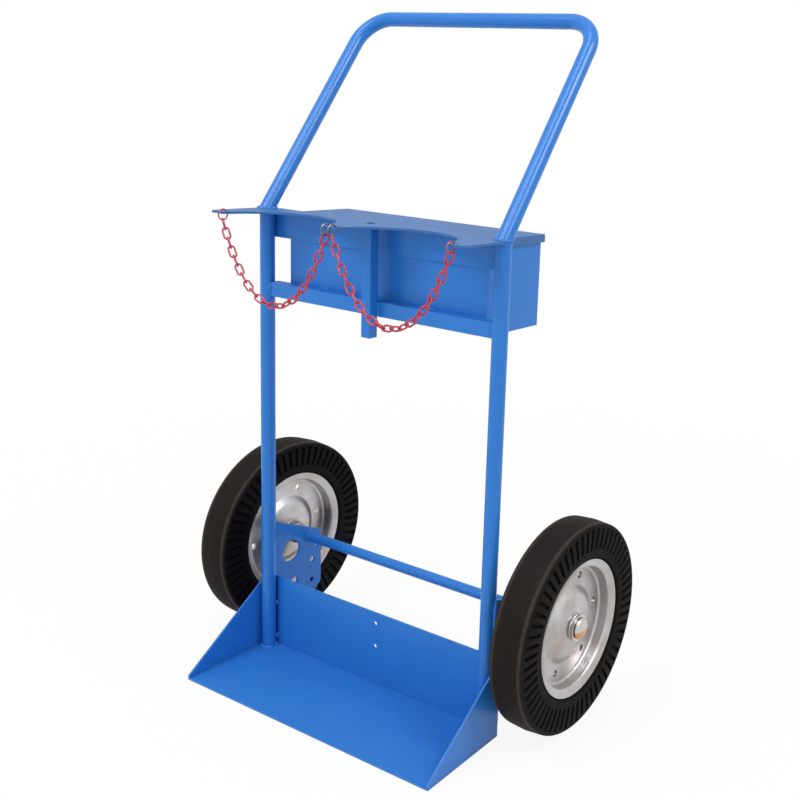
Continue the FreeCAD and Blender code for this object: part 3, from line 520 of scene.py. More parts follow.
def tyre_rubber(colours):
    """Moulded black rubber: matt, browner and dusty on the tread that meets the ground."""
    material, tree, shader, place = new_finish("tyre_rubber", {"IOR": 1.52, "Specular IOR Level": 0.06})
    worn = add_node(tree, "ShaderNodeAttribute", {"attribute_name": "tread"})
    # Bloom and dust lie in patches, about 12 mm across
    dust = add_node(tree, "ShaderNodeTexNoise", {"Scale": 1 / (12 * MM), "Detail": 6.0}, {"Vector": place})
    patchy = add_node(tree, "ShaderNodeMapRange", {"To Min": 0.75, "To Max": 1.25}, {"Value": dust})
    share = add_node(tree, "ShaderNodeMath", {"operation": "MULTIPLY"},
                     {0: worn.outputs["Fac"], 1: patchy})
    tone = add_node(tree, "ShaderNodeValToRGB", None, {"Fac": share}, shader.inputs["Base Color"])
    ramp = tone.color_ramp.elements
    ramp.new(0.5)
    for stop, rgb in zip(ramp, (colours.rubber, colours.rubber_dust, colours.rubber_edge)):
        stop.color = opaque(rgb)
    add_node(tree, "ShaderNodeMapRange", {"To Min": 0.5, "To Max": 0.72},
             {"Value": dust}, shader.inputs["Roughness"])
    # The mould's grain, really 0.3 mm, drawn at 1.5 mm so that it shows
    grain = add_node(tree, "ShaderNodeTexNoise",
                     {"Scale": 1 / (1.5 * MM), "Detail": 3.0}, {"Vector": place})
    add_node(tree, "ShaderNodeBump", {"Strength": 0.35, "Distance": 0.15 * MM},
             {"Height": grain}, shader.inputs["Normal"])
    return material


def plated_zinc(colours):
    """Zinc-plated pressed steel: a soft metal sheen with cool and warm clouds of passivation."""
    material, tree, shader, place = new_finish("plated_zinc", {"Metallic": 1.0})
    # Passivation clouds, about 70 mm across
    cloud = add_node(tree, "ShaderNodeTexNoise",
                     {"Scale": 1 / (70 * MM), "Detail": 8.0, "Roughness": 0.65}, {"Vector": place})
    share = add_node(tree, "ShaderNodeMapRange", {"From Min": 0.3, "From Max": 0.7}, {"Value": cloud})
    add_node(tree, "ShaderNodeMixRGB",
             {"Color1": opaque(colours.zinc_warm), "Color2": opaque(colours.zinc)},
             {"Fac": share}, shader.inputs["Base Color"])
    add_node(tree, "ShaderNodeMapRange", {"To Min": 0.28, "To Max": 0.42},
             {"Value": cloud}, shader.inputs["Roughness"])
    # Drawing marks of the press, about 2 mm apart
    draw = add_node(tree, "ShaderNodeTexNoise", {"Scale": 1 / (2 * MM), "Detail": 2.0}, {"Vector": place})
    add_node(tree, "ShaderNodeBump", {"Strength": 0.1, "Distance": 0.02 * MM},
             {"Height": draw}, shader.inputs["Normal"])
    return material


def chain_paint(colours):
    """Red dipped paint on welded chain: glossy, with thicker and thinner paint in random patches."""
    material, tree, shader, place = new_finish(
        "chain_paint", {"IOR": 1.5, "Coat Weight": 0.3, "Coat Roughness": 0.1})
    # Runs and thin spots, about 5 mm across
    run = add_node(tree, "ShaderNodeTexNoise", {"Scale": 1 / (5 * MM), "Detail": 3.0}, {"Vector": place})
    add_node(tree, "ShaderNodeMixRGB",
             {"Color1": opaque(colours.chain_deep), "Color2": opaque(colours.chain)},
             {"Fac": run}, shader.inputs["Base Color"])
    add_node(tree, "ShaderNodeMapRange", {"To Min": 0.25, "To Max": 0.45},
             {"Value": run}, shader.inputs["Roughness"])
    add_node(tree, "ShaderNodeBump", {"Strength": 0.3, "Distance": 0.15 * MM},
             {"Height": run}, shader.inputs["Normal"])
    return material


def worked_steel(name, rgb, smoothest, roughest, mark):
    """Bare or bright-plated steel: a metal mirror broken by fine marks of the given size."""
    material, tree, shader, place = new_finish(name, {"Metallic": 1.0, "Base Color": opaque(rgb)})
    marks = add_node(tree, "ShaderNodeTexNoise", {"Scale": 1 / mark, "Detail": 4.0}, {"Vector": place})
    add_node(tree, "ShaderNodeMapRange", {"To Min": smoothest, "To Max": roughest},
             {"Value": marks}, shader.inputs["Roughness"])
    add_node(tree, "ShaderNodeBump", {"Strength": 0.1, "Distance": 0.03 * MM},
             {"Height": marks}, shader.inputs["Normal"])
    return material


def polished_steel(colours):
    """Bright-plated pressings and washers, which mirror the room."""
    return worked_steel("polished_steel", colours.steel, smoothest=0.1, roughest=0.24, mark=3 * MM)


def painted_reflection_cap(colours):
    """Dome caps that mirror the room: bright steel above, and below a painted reflection, a warm brown that
    stands for a brown floor mirrored in their lower half.
    """
    material = worked_steel("painted_reflection_cap", colours.steel, smoothest=0.12, roughest=0.28, mark=3 * MM)
    tree = material.node_tree
    place = add_node(tree, "ShaderNodeTexCoord").outputs["Object"]
    height = add_node(tree, "ShaderNodeSeparateXYZ", links={"Vector": place})
    # The painted reflection ends in a soft line, a few millimetres wide, just under the axle's middle;
    # above it the steel is left bright
    rubbed = add_node(tree, "ShaderNodeMapRange",
                      {"From Min": AXLE.z - 4 * MM, "From Max": AXLE.z + 1 * MM},
                      {"Value": height.outputs["Z"]})
    add_node(tree, "ShaderNodeMixRGB", {"Color1": opaque(colours.cap_painted_reflection), "Color2": opaque(colours.steel)},
             {"Fac": rubbed}, tree.nodes["Principled BSDF"].inputs["Base Color"])
    return material


def bearing_steel(colours):
    """Ground rollers and their pressed cage, satin with oil."""
    return worked_steel("bearing_steel", colours.bearing, smoothest=0.25, roughest=0.4, mark=1.5 * MM)


FINISHES = {
    "blue_enamel": blue_enamel,
    "dulled_and_shaded_enamel": dulled_and_shaded_enamel,
    "tyre_rubber": tyre_rubber,
    "plated_zinc": plated_zinc,
    "chain_paint": chain_paint,
    "polished_steel": polished_steel,
    "painted_reflection_cap": painted_reflection_cap,
    "bearing_steel": bearing_steel,
}


def finish_named(context, name):
    """The finish of that name, made on its first use."""
    return bpy.data.materials.get(name) or FINISHES[name](context.scene.trolley_colours)


# Tube frame and sheet metal

# How far a cutter passes the faces that it cuts, and where the tray wall's recess starts above the floor
CUT_SPARE = 1 * MM
RECESS_FOOT = 4 * MM


def handle_bar():
    """How far back and how high the middle of the handle's grip bar is."""
    _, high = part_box("handle")
    return high.y - TUBE_RADIUS, high.z - TUBE_RADIUS


def handle_rings(sizes):
    """The handle tube: two legs that lean back from the plate, joined by the grip bar."""
    bar_y, bar_z = handle_bar()
    left = [(-UPRIGHT_X, 0, PLATE_TOP), (-UPRIGHT_X, bar_y, bar_z)]
    right = [(-x, y, z) for x, y, z in reversed(left)]
    path = bent_path(left + right, [sizes.handle_corner_radius] * 2, sizes.bend_steps)
    rings = bar_rings(path, TUBE_RADIUS, sizes.tube_sides)
    # Both feet are sawn level where they stand on the plate
    for foot in (0, -1):
        rise = PLATE_TOP - rings[foot][:, 2]
        rings[foot][:, 1] += rise * bar_y / (bar_z - PLATE_TOP)
        rings[foot][:, 2] = PLATE_TOP
    return rings


class TROLLEY_OT_tube_frame(bpy.types.Operator):
    """Makes the two uprights and the bent handle from round tube"""

    bl_idname = "trolley.tube_frame"
    bl_label = "Tube frame"

    def execute(self, context):
        sizes = context.scene.trolley_sizes
        blue = finish_named(context, "blue_enamel")
        tubes = {"handle": handle_rings(sizes)}
        for side, way in SIDES.items():
            x = UPRIGHT_X * way
            ends = [(x, 0, FLOOR_TOP), (x, 0, PLATE_TOP)]
            tubes[f"{side}_upright"] = bar_rings(ends, TUBE_RADIUS, sizes.tube_sides)
        for node, rings in tubes.items():
            add_skinned(f"{node}_tube", [rings], blue, "frame", [node], closed=False)
        return {"FINISHED"}


def bracket_trim(node, sizes):
    """The front strip to cut off an axle bracket, which then ends just in front of the tube's middle."""
    low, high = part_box(node)
    spare = Vector((1, 1, 1)) * CUT_SPARE
    return low - spare, Vector((high.x, -sizes.bracket_lap - spare.y, high.z)) + spare


def wall_recesses(sizes):
    """The narrow recess where the tray's back wall passes behind each upright, dark like an open gap."""
    _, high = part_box("foot_tray")
    boxes = []
    for way in SIDES.values():
        near, far = sorted((UPRIGHT_X + reach) * way for reach in (-sizes.recess_reach, TUBE_RADIUS / 2))
        boxes.append(((near, TUBE_RADIUS - CUT_SPARE, FLOOR_TOP + RECESS_FOOT),
                      (far, high.y - sizes.recess_skin, high.z + CUT_SPARE)))
    return boxes


class TROLLEY_OT_sheet_metal(bpy.types.Operator):
    """Paints the plate, rails, post, tray and brackets, and breaks their cut edges"""

    bl_idname = "trolley.sheet_metal"
    bl_label = "Sheet metal"

    def execute(self, context):
        sizes = context.scene.trolley_sizes
        blue = finish_named(context, "blue_enamel")
        # The plate gets the darker, greyer blue: painted shade, with some dust
        dress("collar_plate", finish_named(context, "dulled_and_shaded_enamel"), sizes.plate_edge)
        for node in ("top_rail", "lower_rail", "centre_post", "left_gusset", "right_gusset"):
            dress(node, blue, sizes.broken_edge)
        trims = {"foot_tray": wall_recesses(sizes)}
        for side in SIDES:
            trims[f"{side}_axle_bracket"] = [bracket_trim(f"{side}_axle_bracket", sizes)]
        for node, boxes in trims.items():
            mesh = trimmed_mesh(node, boxes)
            piece = add_piece(f"{node}_trimmed", mesh, blue, "frame", [node])
            break_edges(piece, sizes.broken_edge)
        return {"FINISHED"}


class TROLLEY_OT_toolbox(bpy.types.Operator):
    """Paints the toolbox, its lid and the long hinge"""

    bl_idname = "trolley.toolbox"
    bl_label = "Toolbox"

    def execute(self, context):
        edge = context.scene.trolley_sizes.broken_edge
        blue = finish_named(context, "blue_enamel")
        dress("toolbox", blue, edge)
        # The lid gets the darker, greyer blue: painted shade, with some dust
        dress("toolbox_lid", finish_named(context, "dulled_and_shaded_enamel"), edge)
        for node in ("hinge_fixed_leaf", "hinge_lid_leaf"):
            dress(node, blue)
        dress("hinge_pin", finish_named(context, "polished_steel"))
        return {"FINISHED"}


# Axle and what turns on it

CAP_SHEET = 2 * MM
CAP_SKIRT_SHARE = 0.2
CAP_BEND_STEPS = 4
DOME_STEPS = 16


def ring_section(start, end, inner, outer, edge):
    """A ring's section with its four corners broken."""
    corners = [(start, inner), (start, outer), (end, outer), (end, inner)]
    line = [Vector((*corner, 0)) for corner in corners]
    turns = line + line[:2]
    points = bent_path(turns, [edge] * len(corners), EDGE_STEPS)[1:-1]
    return [(point.x, point.y) for point in points]


class TROLLEY_OT_axle(bpy.types.Operator):
    """Makes the axle, its spacers, washers and dome caps, and the bearings inside the hubs"""

    bl_idname = "trolley.axle"
    bl_label = "Axle"

    def execute(self, context):
        edge = context.scene.trolley_sizes.broken_edge
        steps = context.scene.trolley_wheel.turn_steps
        blue = finish_named(context, "blue_enamel")
        bright = finish_named(context, "polished_steel")
        dress("axle", blue)
        axle_radius = extent("axle").z / 2
        for side, way in SIDES.items():
            for part in ("rollers", "roller_cage"):
                dress(f"{side}_{part}", finish_named(context, "bearing_steel"))
            for part in ("spacer", "washer"):
                node = f"{side}_{part}"
                half, outer = extent(node).x / 2, extent(node).z / 2
                section = ring_section(-half, half, axle_radius, outer, edge)
                rings = turned_rings(section, steps, middle(node), way)
                add_skinned(f"{node}_turned", [rings], bright, "frame", [node])
            # The caps' finish carries a painted reflection on their lower half
            self.add_cap(side, way, axle_radius, steps, finish_named(context, "painted_reflection_cap"))
        return {"FINISHED"}

    def add_cap(self, side, way, axle_radius, steps, finish):
        """A pressed dome on a short skirt."""
        node = f"{side}_axle_cap"
        depth, radius = extent(node).x, extent(node).z / 2
        inset = CAP_SHEET / 2
        side_radius = radius - inset
        skirt = depth * CAP_SKIRT_SHARE
        corners = [(inset, axle_radius, 0), (inset, side_radius, 0), (skirt, side_radius, 0)]
        line = bent_path(corners, [CAP_SHEET], CAP_BEND_STEPS)
        for turn in np.radians(np.linspace(0, 90, DOME_STEPS + 1))[1:]:
            line.append((skirt + (depth - inset - skirt) * math.sin(turn), side_radius * math.cos(turn), 0))
        foot = middle(node)
        foot.x = (abs(foot.x) - depth / 2) * way
        rings = turned_rings(sheet_section(line, CAP_SHEET), steps, foot, way)
        add_skinned(f"{node}_pressed", [rings], finish, "frame", [node])


# Wheels

# The tyre: the lip of a groove, the rubbed strip at the tread's edge, the round of the bead,
# and the turns in degrees and rows of points that draw its shoulder, sidewall and bead
GROOVE_LIP = 0.15 * MM
RUBBED_WIDTH = 5 * MM
RUBBED_ROWS = (1.0, 0.4, 0.0)
BEAD_ROUND = 7 * MM
SHOULDER_TURN = 78
SHOULDER_ROWS = 7
WALL_ROWS = 26
BEAD_TURN = 15
BEAD_ROWS = 6
# The rim: its bends, how far the disc runs into the hub, the hub's broken edge, and what drills the disc
RIM_BEND_STEPS = 10
HUB_OVERLAP = 1 * MM
HUB_EDGE = 1 * MM
HUB_WELD_SHARE = 0.7
DRILL_REACH = 10 * MM
DRILL_SIDES = 28


def wheel_centre(way):
    return (WHEEL_X * way, AXLE.y, AXLE.z)


def smooth_step(value, low, high):
    share = np.clip((value - low) / (high - low), 0, 1)
    return share * share * (3 - 2 * share)


def tread_rows(wheel):
    """One half of the tread from its middle to the shoulder: (along, radius) points."""
    edge = TYRE_HALF - wheel.shoulder_radius
    lip = GROOVE_LIP
    rows = [(0.0, WHEEL_RADIUS)]
    for number in range(wheel.groove_count):
        groove = wheel.groove_pitch * (number + 0.5)
        surface = WHEEL_RADIUS - wheel.tread_crown * groove / edge
        floor = surface - wheel.groove_depth
        half = wheel.groove_width / 2
        rows += [(groove - half - lip, surface), (groove - half, surface - lip), (groove - half, floor),
                 (groove + half, floor), (groove + half, surface - lip), (groove + half + lip, surface)]
    for share in RUBBED_ROWS:
        inset = RUBBED_WIDTH * share
        rows.append((edge - inset, WHEEL_RADIUS - wheel.tread_crown * (1 - inset / edge)))
    return rows


def tyre_rows(wheel):
    """Half of the tyre's section from the middle of the tread to its seat on the rim."""
    edge = TYRE_HALF - wheel.shoulder_radius
    shoulder = WHEEL_RADIUS - wheel.tread_crown - wheel.shoulder_radius
    rows = tread_rows(wheel)
    for turn in np.radians(np.linspace(SHOULDER_TURN, 0, SHOULDER_ROWS)):
        rows.append((edge + wheel.shoulder_radius * math.cos(turn),
                     shoulder + wheel.shoulder_radius * math.sin(turn)))
    foot = wheel.bead_radius + BEAD_ROUND
    # The sidewall swells as a parabola, whose middle stands out by the whole bulge
    for radius in np.linspace(shoulder, foot, WALL_ROWS)[1:]:
        share = (radius - foot) / (shoulder - foot)
        rows.append((TYRE_HALF + wheel.wall_bulge * 4 * share * (1 - share), radius))
    # The bead lies behind the rim's lip
    lip_x = RIM_HALF - wheel.rim_sheet
    for turn in np.radians(np.linspace(BEAD_TURN, 90, BEAD_ROWS)):
        rows.append((lip_x + (TYRE_HALF - lip_x) * math.cos(turn), foot - BEAD_ROUND * math.sin(turn)))
    seat = wheel.barrel_radius + wheel.rim_sheet / 2
    rows += [(wheel.lip_foot - wheel.rim_sheet, seat), (0.0, seat)]
    return np.array(rows)


def slot_turns(wheel):
    """Angles round the tyre, close together at the slots' edges, and how deep in a slot each one is."""
    pitch = 2 * math.pi / wheel.slot_count
    half = wheel.slot_width / 2 / wheel.slot_outer
    edge = wheel.slot_edge / wheel.slot_outer
    offsets = np.array([-pitch / 2, -half - edge, -half, edge - half, half - edge, half, half + edge])
    depths = np.array([0, 0, 0.5, 1, 1, 0.5, 0])
    starts = np.arange(wheel.slot_count) * pitch
    return (starts[:, None] + offsets).ravel(), np.tile(depths, wheel.slot_count)


def make_tyre(context, side, way):
    """A solid tyre with grooved tread, round shoulders and a ring of slots in each sidewall."""
    wheel = context.scene.trolley_wheel
    half_rows = tyre_rows(wheel)
    other = half_rows[1:-1][::-1] * (-1, 1)
    rows = np.vstack([half_rows, other])
    turns, slot_depth = slot_turns(wheel)
    slope = wheel.slot_edge * 2
    on_wall = np.abs(rows[:, 0]) > TYRE_HALF - wheel.shoulder_radius / 4
    in_slot = (smooth_step(rows[:, 1], wheel.slot_inner, wheel.slot_inner + slope)
               * (1 - smooth_step(rows[:, 1], wheel.slot_outer - slope, wheel.slot_outer)) * on_wall)
    sunk = np.outer(slot_depth, in_slot) * wheel.slot_depth
    grid = np.empty((len(turns), len(rows), 3))
    grid[..., 0] = rows[:, 0] - np.sign(rows[:, 0]) * sunk
    grid[..., 1] = np.outer(np.cos(turns), rows[:, 1])
    grid[..., 2] = np.outer(np.sin(turns), rows[:, 1])
    mesh = grid_mesh(f"{side}_tyre_moulded", [grid + np.array(wheel_centre(way))])
    mark_tread(mesh, wheel, way)
    rubber = finish_named(context, "tyre_rubber")
    add_piece(f"{side}_tyre_moulded", mesh, rubber, f"{side}_wheel", [f"{side}_tyre"])


def mark_tread(mesh, wheel, way):
    """Stores how worn each point is: 0 on the sidewalls, half on the tread and 1 along its rubbed edges."""
    points = np.array([vert.co for vert in mesh.vertices]) - np.array(wheel_centre(way))
    reach = np.hypot(points[:, 1], points[:, 2])
    start = WHEEL_RADIUS - wheel.tread_crown - wheel.shoulder_radius
    share = smooth_step(reach, start, start + wheel.shoulder_radius)
    from_edge = np.abs(np.abs(points[:, 0]) - (TYRE_HALF - wheel.shoulder_radius))
    share = share * (1 - smooth_step(from_edge, 0, RUBBED_WIDTH) / 2)
    mesh.attributes.new("tread", "FLOAT", "POINT").data.foreach_set("value", share.astype(np.float32))


def rim_half_rings(wheel, centre, face):
    """One pressed half of the rim: a flared lip, half the barrel, and a disc that domes to the hub."""
    gauge = wheel.rim_sheet
    disc = gauge / 2
    corners = [
        (RIM_HALF - gauge / 2, LIP_RADIUS - gauge / 2, 0),
        (wheel.lip_foot, wheel.barrel_radius, 0),
        (disc, wheel.barrel_radius, 0),
        (disc, wheel.dome_foot, 0),
        (wheel.shoulder_depth, wheel.dome_shoulder, 0),
        (wheel.dome_depth, wheel.hub_radius - HUB_OVERLAP, 0),
    ]
    bends = [wheel.lip_bend, wheel.disc_bend, wheel.dome_bend, wheel.crown_bend]
    line = bent_path(corners, bends, RIM_BEND_STEPS)
    return turned_rings(sheet_section(line, gauge), wheel.turn_steps, centre, face)


def hole_cutters(wheel, centre):
    """Short rods that cut the holes round the disc."""
    rods = []
    for number in range(wheel.hole_count):
        turn = wheel.hole_turn + 2 * math.pi * number / wheel.hole_count
        y = centre[1] + wheel.hole_circle * math.cos(turn)
        z = centre[2] + wheel.hole_circle * math.sin(turn)
        ends = [(centre[0] + reach, y, z) for reach in (-DRILL_REACH, DRILL_REACH)]
        rods.append(bar_rings(ends, wheel.hole_diameter / 2, DRILL_SIDES))
    return rods


class TROLLEY_OT_tyres(bpy.types.Operator):
    """Moulds the two solid rubber tyres"""

    bl_idname = "trolley.tyres"
    bl_label = "Tyres"

    def execute(self, context):
        for side, way in SIDES.items():
            make_tyre(context, side, way)
        return {"FINISHED"}


class TROLLEY_OT_rims(bpy.types.Operator):
    """Presses the two rims, drills their discs and turns their hubs"""

    bl_idname = "trolley.rims"
    bl_label = "Rims and hubs"

    def execute(self, context):
        wheel = context.scene.trolley_wheel
        zinc = finish_named(context, "plated_zinc")
        for side, way in SIDES.items():
            centre = wheel_centre(way)
            body = f"{side}_wheel"
            for half, face in RIM_HALVES.items():
                name = f"{side}_rim_{half}_pressed"
                pressed = grid_mesh(name, [rim_half_rings(wheel, centre, way * face)])
                cutters = grid_mesh("hole_cutters", hole_cutters(wheel, centre), closed=False)
                drilled = cut_holes(pressed, cutters)
                add_piece(name, drilled, zinc, body, [f"{side}_rim_{half}"])
            self.add_hub(context, side, way, zinc)
        return {"FINISHED"}

    def add_hub(self, context, side, way, zinc):
        """A plain tube, welded into both halves of the rim."""
        wheel = context.scene.trolley_wheel
        sizes = context.scene.trolley_sizes
        node = f"{side}_hub"
        half = extent(node).x / 2
        section = ring_section(-half, half, wheel.hub_bore, wheel.hub_radius, HUB_EDGE)
        rings = turned_rings(section, wheel.turn_steps, middle(node), way)
        add_skinned(f"{node}_turned", [rings], zinc, f"{side}_wheel", [node])
        beads = []
        for face in RIM_HALVES.values():
            x = WHEEL_X * way + (wheel.dome_depth + wheel.rim_sheet / 2) * face
            path = ring_path((x, AXLE.y, AXLE.z), wheel.hub_radius, 0)
            beads.append(weld_rings(path, sizes.weld_width * HUB_WELD_SHARE, sizes.weld_ripple, True))
        add_skinned(f"{node}_welds", beads, zinc, f"{side}_wheel")


# Chains

# A link: how near points of one solid lie to be one, faces round its wire,
# points round an end and along a run, and its swollen weld
LINK_JOIN = 10 * JOIN
LINK_SIDES = 12
LINK_END_POINTS = 13
LINK_RUN_SHARES = (0.5, 0.2, -0.2, -0.5)
LINK_WELD_SHARE = 0.3
LINK_WELD_SWELL = 1.16
# An end ring: faces round its wire, and how much smaller its radius is than its node's
RING_SIDES = 14
RING_SHRINK = 0.6 * MM


def loose_parts(node):
    """The separate solids of a node of the frame, each as an array of its points."""
    shape = bmesh.new()
    shape.from_mesh(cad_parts[node].data)
    bmesh.ops.remove_doubles(shape, verts=shape.verts, dist=LINK_JOIN)
    seen = set()
    parts = []
    for start in shape.verts:
        if start in seen:
            continue
        seen.add(start)
        reached = [start]
        for vert in reached:
            for edge in vert.link_edges:
                other = edge.other_vert(vert)
                if other not in seen:
                    seen.add(other)
                    reached.append(other)
        parts.append(np.array([tuple(vert.co) for vert in reached]))
    shape.free()
    return parts


def link_place(points):
    """Where a link lies: a matrix with its length along X and its width along Y."""
    low, high = points.min(axis=0), points.max(axis=0)
    centre = (low + high) / 2
    _, axes = np.linalg.eigh(np.cov((points - centre).T))
    along, across = Vector(axes[:, 2]), Vector(axes[:, 1])
    if along.x < 0:
        along = -along
    through = along.cross(across)
    return Matrix.Translation(centre) @ Matrix((along, across, through)).transposed().to_4x4()


def link_rings(sizes):
    """One link of round wire, a little thicker where its ends were welded together."""
    wire = sizes.chain_wire / 2
    bend = sizes.chain_link_width / 2 - wire
    run = sizes.chain_link_length / 2 - wire - bend
    path = []
    for end, start in ((1, -90), (-1, 90)):
        turns = np.radians(np.linspace(start, start + 180, LINK_END_POINTS))
        path += [(end * run + bend * math.cos(turn), bend * math.sin(turn), 0) for turn in turns]
        path += [(end * run * share, end * bend, 0) for share in LINK_RUN_SHARES]
    points = np.array(path)
    at_weld = (points[:, 1] > 0) & (np.abs(points[:, 0]) < run * LINK_WELD_SHARE)
    return bar_rings(points, np.where(at_weld, wire * LINK_WELD_SWELL, wire), LINK_SIDES, closed=True)


class TROLLEY_OT_chains(bpy.types.Operator):
    """Forges the links and end rings of both chains"""

    bl_idname = "trolley.chains"
    bl_label = "Chains"

    def execute(self, context):
        sizes = context.scene.trolley_sizes
        red = finish_named(context, "chain_paint")
        bright = finish_named(context, "bearing_steel")
        link = link_rings(sizes)
        for side in SIDES:
            node = f"{side}_chain_links"
            links = []
            for points in loose_parts(node):
                place = np.array(link_place(points) @ Matrix.Rotation(sizes.chain_roll, 4, "X"))
                links.append(link @ place[:3, :3].T + place[:3, 3])
            add_skinned(f"{side}_chain_forged", links, red, f"{side}_chain", [node])
            for end in ("outer", "inner"):
                self.add_ring(side, end, red if end == "outer" else bright, sizes.ring_wire)
        return {"FINISHED"}

    def add_ring(self, side, end, finish, wire):
        """An end ring about its node's middle, of thinner wire and a little smaller."""
        node = f"{side}_chain_{end}_ring"
        path = ring_path(middle(node), (extent(node).z - extent(node).x) / 2 - RING_SHRINK, 0)
        rings = bar_rings(path, wire / 2, RING_SIDES, closed=True)
        add_skinned(f"{node}_forged", [rings], finish, f"{side}_chain", [node])


# Welds

# A bead: faces round it, points and swelling in each ripple, a slower waver, and its thin ends
BEAD_SIDES = 10
RIPPLE_POINTS = 5
RIPPLE_SWELL = 0.12
WAVER_SWELL = 0.07
WAVER_TURN = 0.37
TIP_SHARE = 0.45
TIP_RISE = 0.12
# Where beads lie: how far they stop short of a joint's ends and stand off a corner,
# and the turns in degrees that they leave open or cover round a tube
WELD_STOP = 1 * MM
WELD_STAND_OFF = 1 * MM
FOOT_BEAD_STAND_OFF = 0.5 * MM
FOOT_BEAD_GAP = 10
AXLE_BEAD_GAP = 5
PLATE_BEAD_TURNS = {-1: (-150, 5), 1: (-185, -30)}
# The bead down a bracket's front: how far it lies in from the bracket's face, and stops from its ends
BRACKET_BEAD_INSET = 2.2 * MM
BRACKET_BEAD_FOOT = 110 * MM
BRACKET_BEAD_TOP = 6 * MM
# Tacks: how far in they lie behind an upright, half their length, and shares of the wall and the box
TACK_INSET = 9 * MM
WALL_TACK_HALF = 5 * MM
WALL_TACK_SHARES = (0.12, 0.62)
BOX_TACK_HALF = 9 * MM
BOX_TACK_SHARES = (-0.62, 0.48)


def weld_rings(path, width, ripple, closed=False):
    """A weld bead along a path, swelling and thinning with each ripple of the arc."""
    points = spaced(path, ripple / RIPPLE_POINTS, closed)
    steps = np.arange(len(points))
    ripples = RIPPLE_SWELL * np.sin(steps * 2 * math.pi / RIPPLE_POINTS)
    swell = 1 + ripples + WAVER_SWELL * np.sin(steps * WAVER_TURN)
    if not closed:
        ends = np.minimum(steps, len(points) - 1 - steps)
        swell = swell * np.clip(TIP_SHARE + ends * TIP_RISE, 0, 1)
    return bar_rings(points, width / 2 * swell, BEAD_SIDES, closed)


def rising_path(x, y, low, high):
    """A straight path upwards."""
    return [(x, y, low), (x, y, high)]


def open_ring(centre, radius, axis, gap):
    """A ring round an axis that leaves a gap of so many degrees at both sides of its start."""
    return ring_path(centre, radius, axis, gap, 360 - gap)


def upright_weld_paths(way):
    """Welds round one upright: at its foot, under the plate, and at both rails."""
    x = UPRIGHT_X * way
    paths = [
        open_ring((x, 0, FLOOR_TOP), TUBE_RADIUS + FOOT_BEAD_STAND_OFF, 2, FOOT_BEAD_GAP),
        ring_path((x, 0, PLATE_BASE), TUBE_RADIUS, 2, *PLATE_BEAD_TURNS[way]),
    ]
    rail_low, rail_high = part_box("lower_rail")
    front = rail_low.y
    joint_x = (UPRIGHT_X - math.sqrt(TUBE_RADIUS ** 2 - front ** 2)) * way
    paths.append(rising_path(joint_x, front, rail_low.z + 2 * WELD_STOP, rail_high.z - WELD_STOP))
    top_low, top_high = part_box("top_rail")
    end_x = (top_high.x + WELD_STAND_OFF) * way
    end_y = TUBE_RADIUS + WELD_STAND_OFF
    paths.append(rising_path(end_x, end_y, top_low.z + 2 * WELD_STOP, top_high.z - WELD_STOP))
    return paths


def bracket_weld_paths(way):
    """Welds that hold one axle bracket to its upright, and the axle to the bracket."""
    low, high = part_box("right_axle_bracket")
    round_axle = open_ring((low.x * way, AXLE.y, AXLE.z), extent("axle").z / 2, 0, AXLE_BEAD_GAP)
    x = (low.x + BRACKET_BEAD_INSET) * way
    down_front = rising_path(x, -WELD_STAND_OFF, low.z + BRACKET_BEAD_FOOT, high.z - BRACKET_BEAD_TOP)
    return [round_axle, down_front]


def post_weld_paths():
    """Welds at the centre post: along both sides of its top, and down both sides at the lower rail."""
    low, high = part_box("centre_post")
    rail_low, rail_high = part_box("lower_rail")
    top = [(low.x, low.y + WELD_STOP, high.z), (low.x, high.y - WELD_STOP, high.z)]
    paths = [top, [(-x, y, z) for x, y, z in top]]
    for x in (low.x, high.x):
        paths.append(rising_path(x, high.y, rail_low.z + WELD_STOP, rail_high.z - WELD_STOP))
    return paths


def tack_paths():
    """Short tacks between the uprights and the tray's wall, and between the toolbox and the lower rail."""
    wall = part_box("foot_tray")[1]
    paths = []
    for way in SIDES.values():
        x = (UPRIGHT_X - TACK_INSET) * way
        for share in WALL_TACK_SHARES:
            z = FLOOR_TOP + (wall.z - FLOOR_TOP) * share
            y = TUBE_RADIUS - WELD_STAND_OFF
            paths.append(rising_path(x, y, z - WALL_TACK_HALF, z + WALL_TACK_HALF))
    _, y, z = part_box("lower_rail")[1]
    for share in BOX_TACK_SHARES:
        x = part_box("toolbox")[1].x * share
        paths.append([(x - BOX_TACK_HALF, y, z), (x + BOX_TACK_HALF, y, z)])
    return paths


def foot_weld_path(way):
    """The oval where one foot of the handle stands on the plate."""
    bar_y, bar_z = handle_bar()
    stretch = math.hypot(bar_y, bar_z - PLATE_TOP) / (bar_z - PLATE_TOP)
    path = ring_path((UPRIGHT_X * way, 0, PLATE_TOP), TUBE_RADIUS, 2)
    path[:, 1] *= stretch
    return path


class TROLLEY_OT_welds(bpy.types.Operator):
    """Lays the weld beads and tacks that hold the frame together"""

    bl_idname = "trolley.welds"
    bl_label = "Welds"

    def execute(self, context):
        sizes = context.scene.trolley_sizes
        blue = finish_named(context, "blue_enamel")
        groups = {"centre_post_welds": post_weld_paths(), "tack_welds": tack_paths()}
        for side, way in SIDES.items():
            groups[f"{side}_upright_welds"] = upright_weld_paths(way)
            groups[f"{side}_bracket_welds"] = bracket_weld_paths(way)
        for name, paths in groups.items():
            beads = [weld_rings(path, sizes.weld_width, sizes.weld_ripple) for path in paths]
            add_skinned(name, beads, blue, "frame", closed=False)
        beads = [weld_rings(foot_weld_path(way), sizes.foot_weld_width, sizes.weld_ripple, True)
                 for way in SIDES.values()]
        add_skinned("handle_foot_welds", beads, blue, "frame")
        return {"FINISHED"}


# Stage

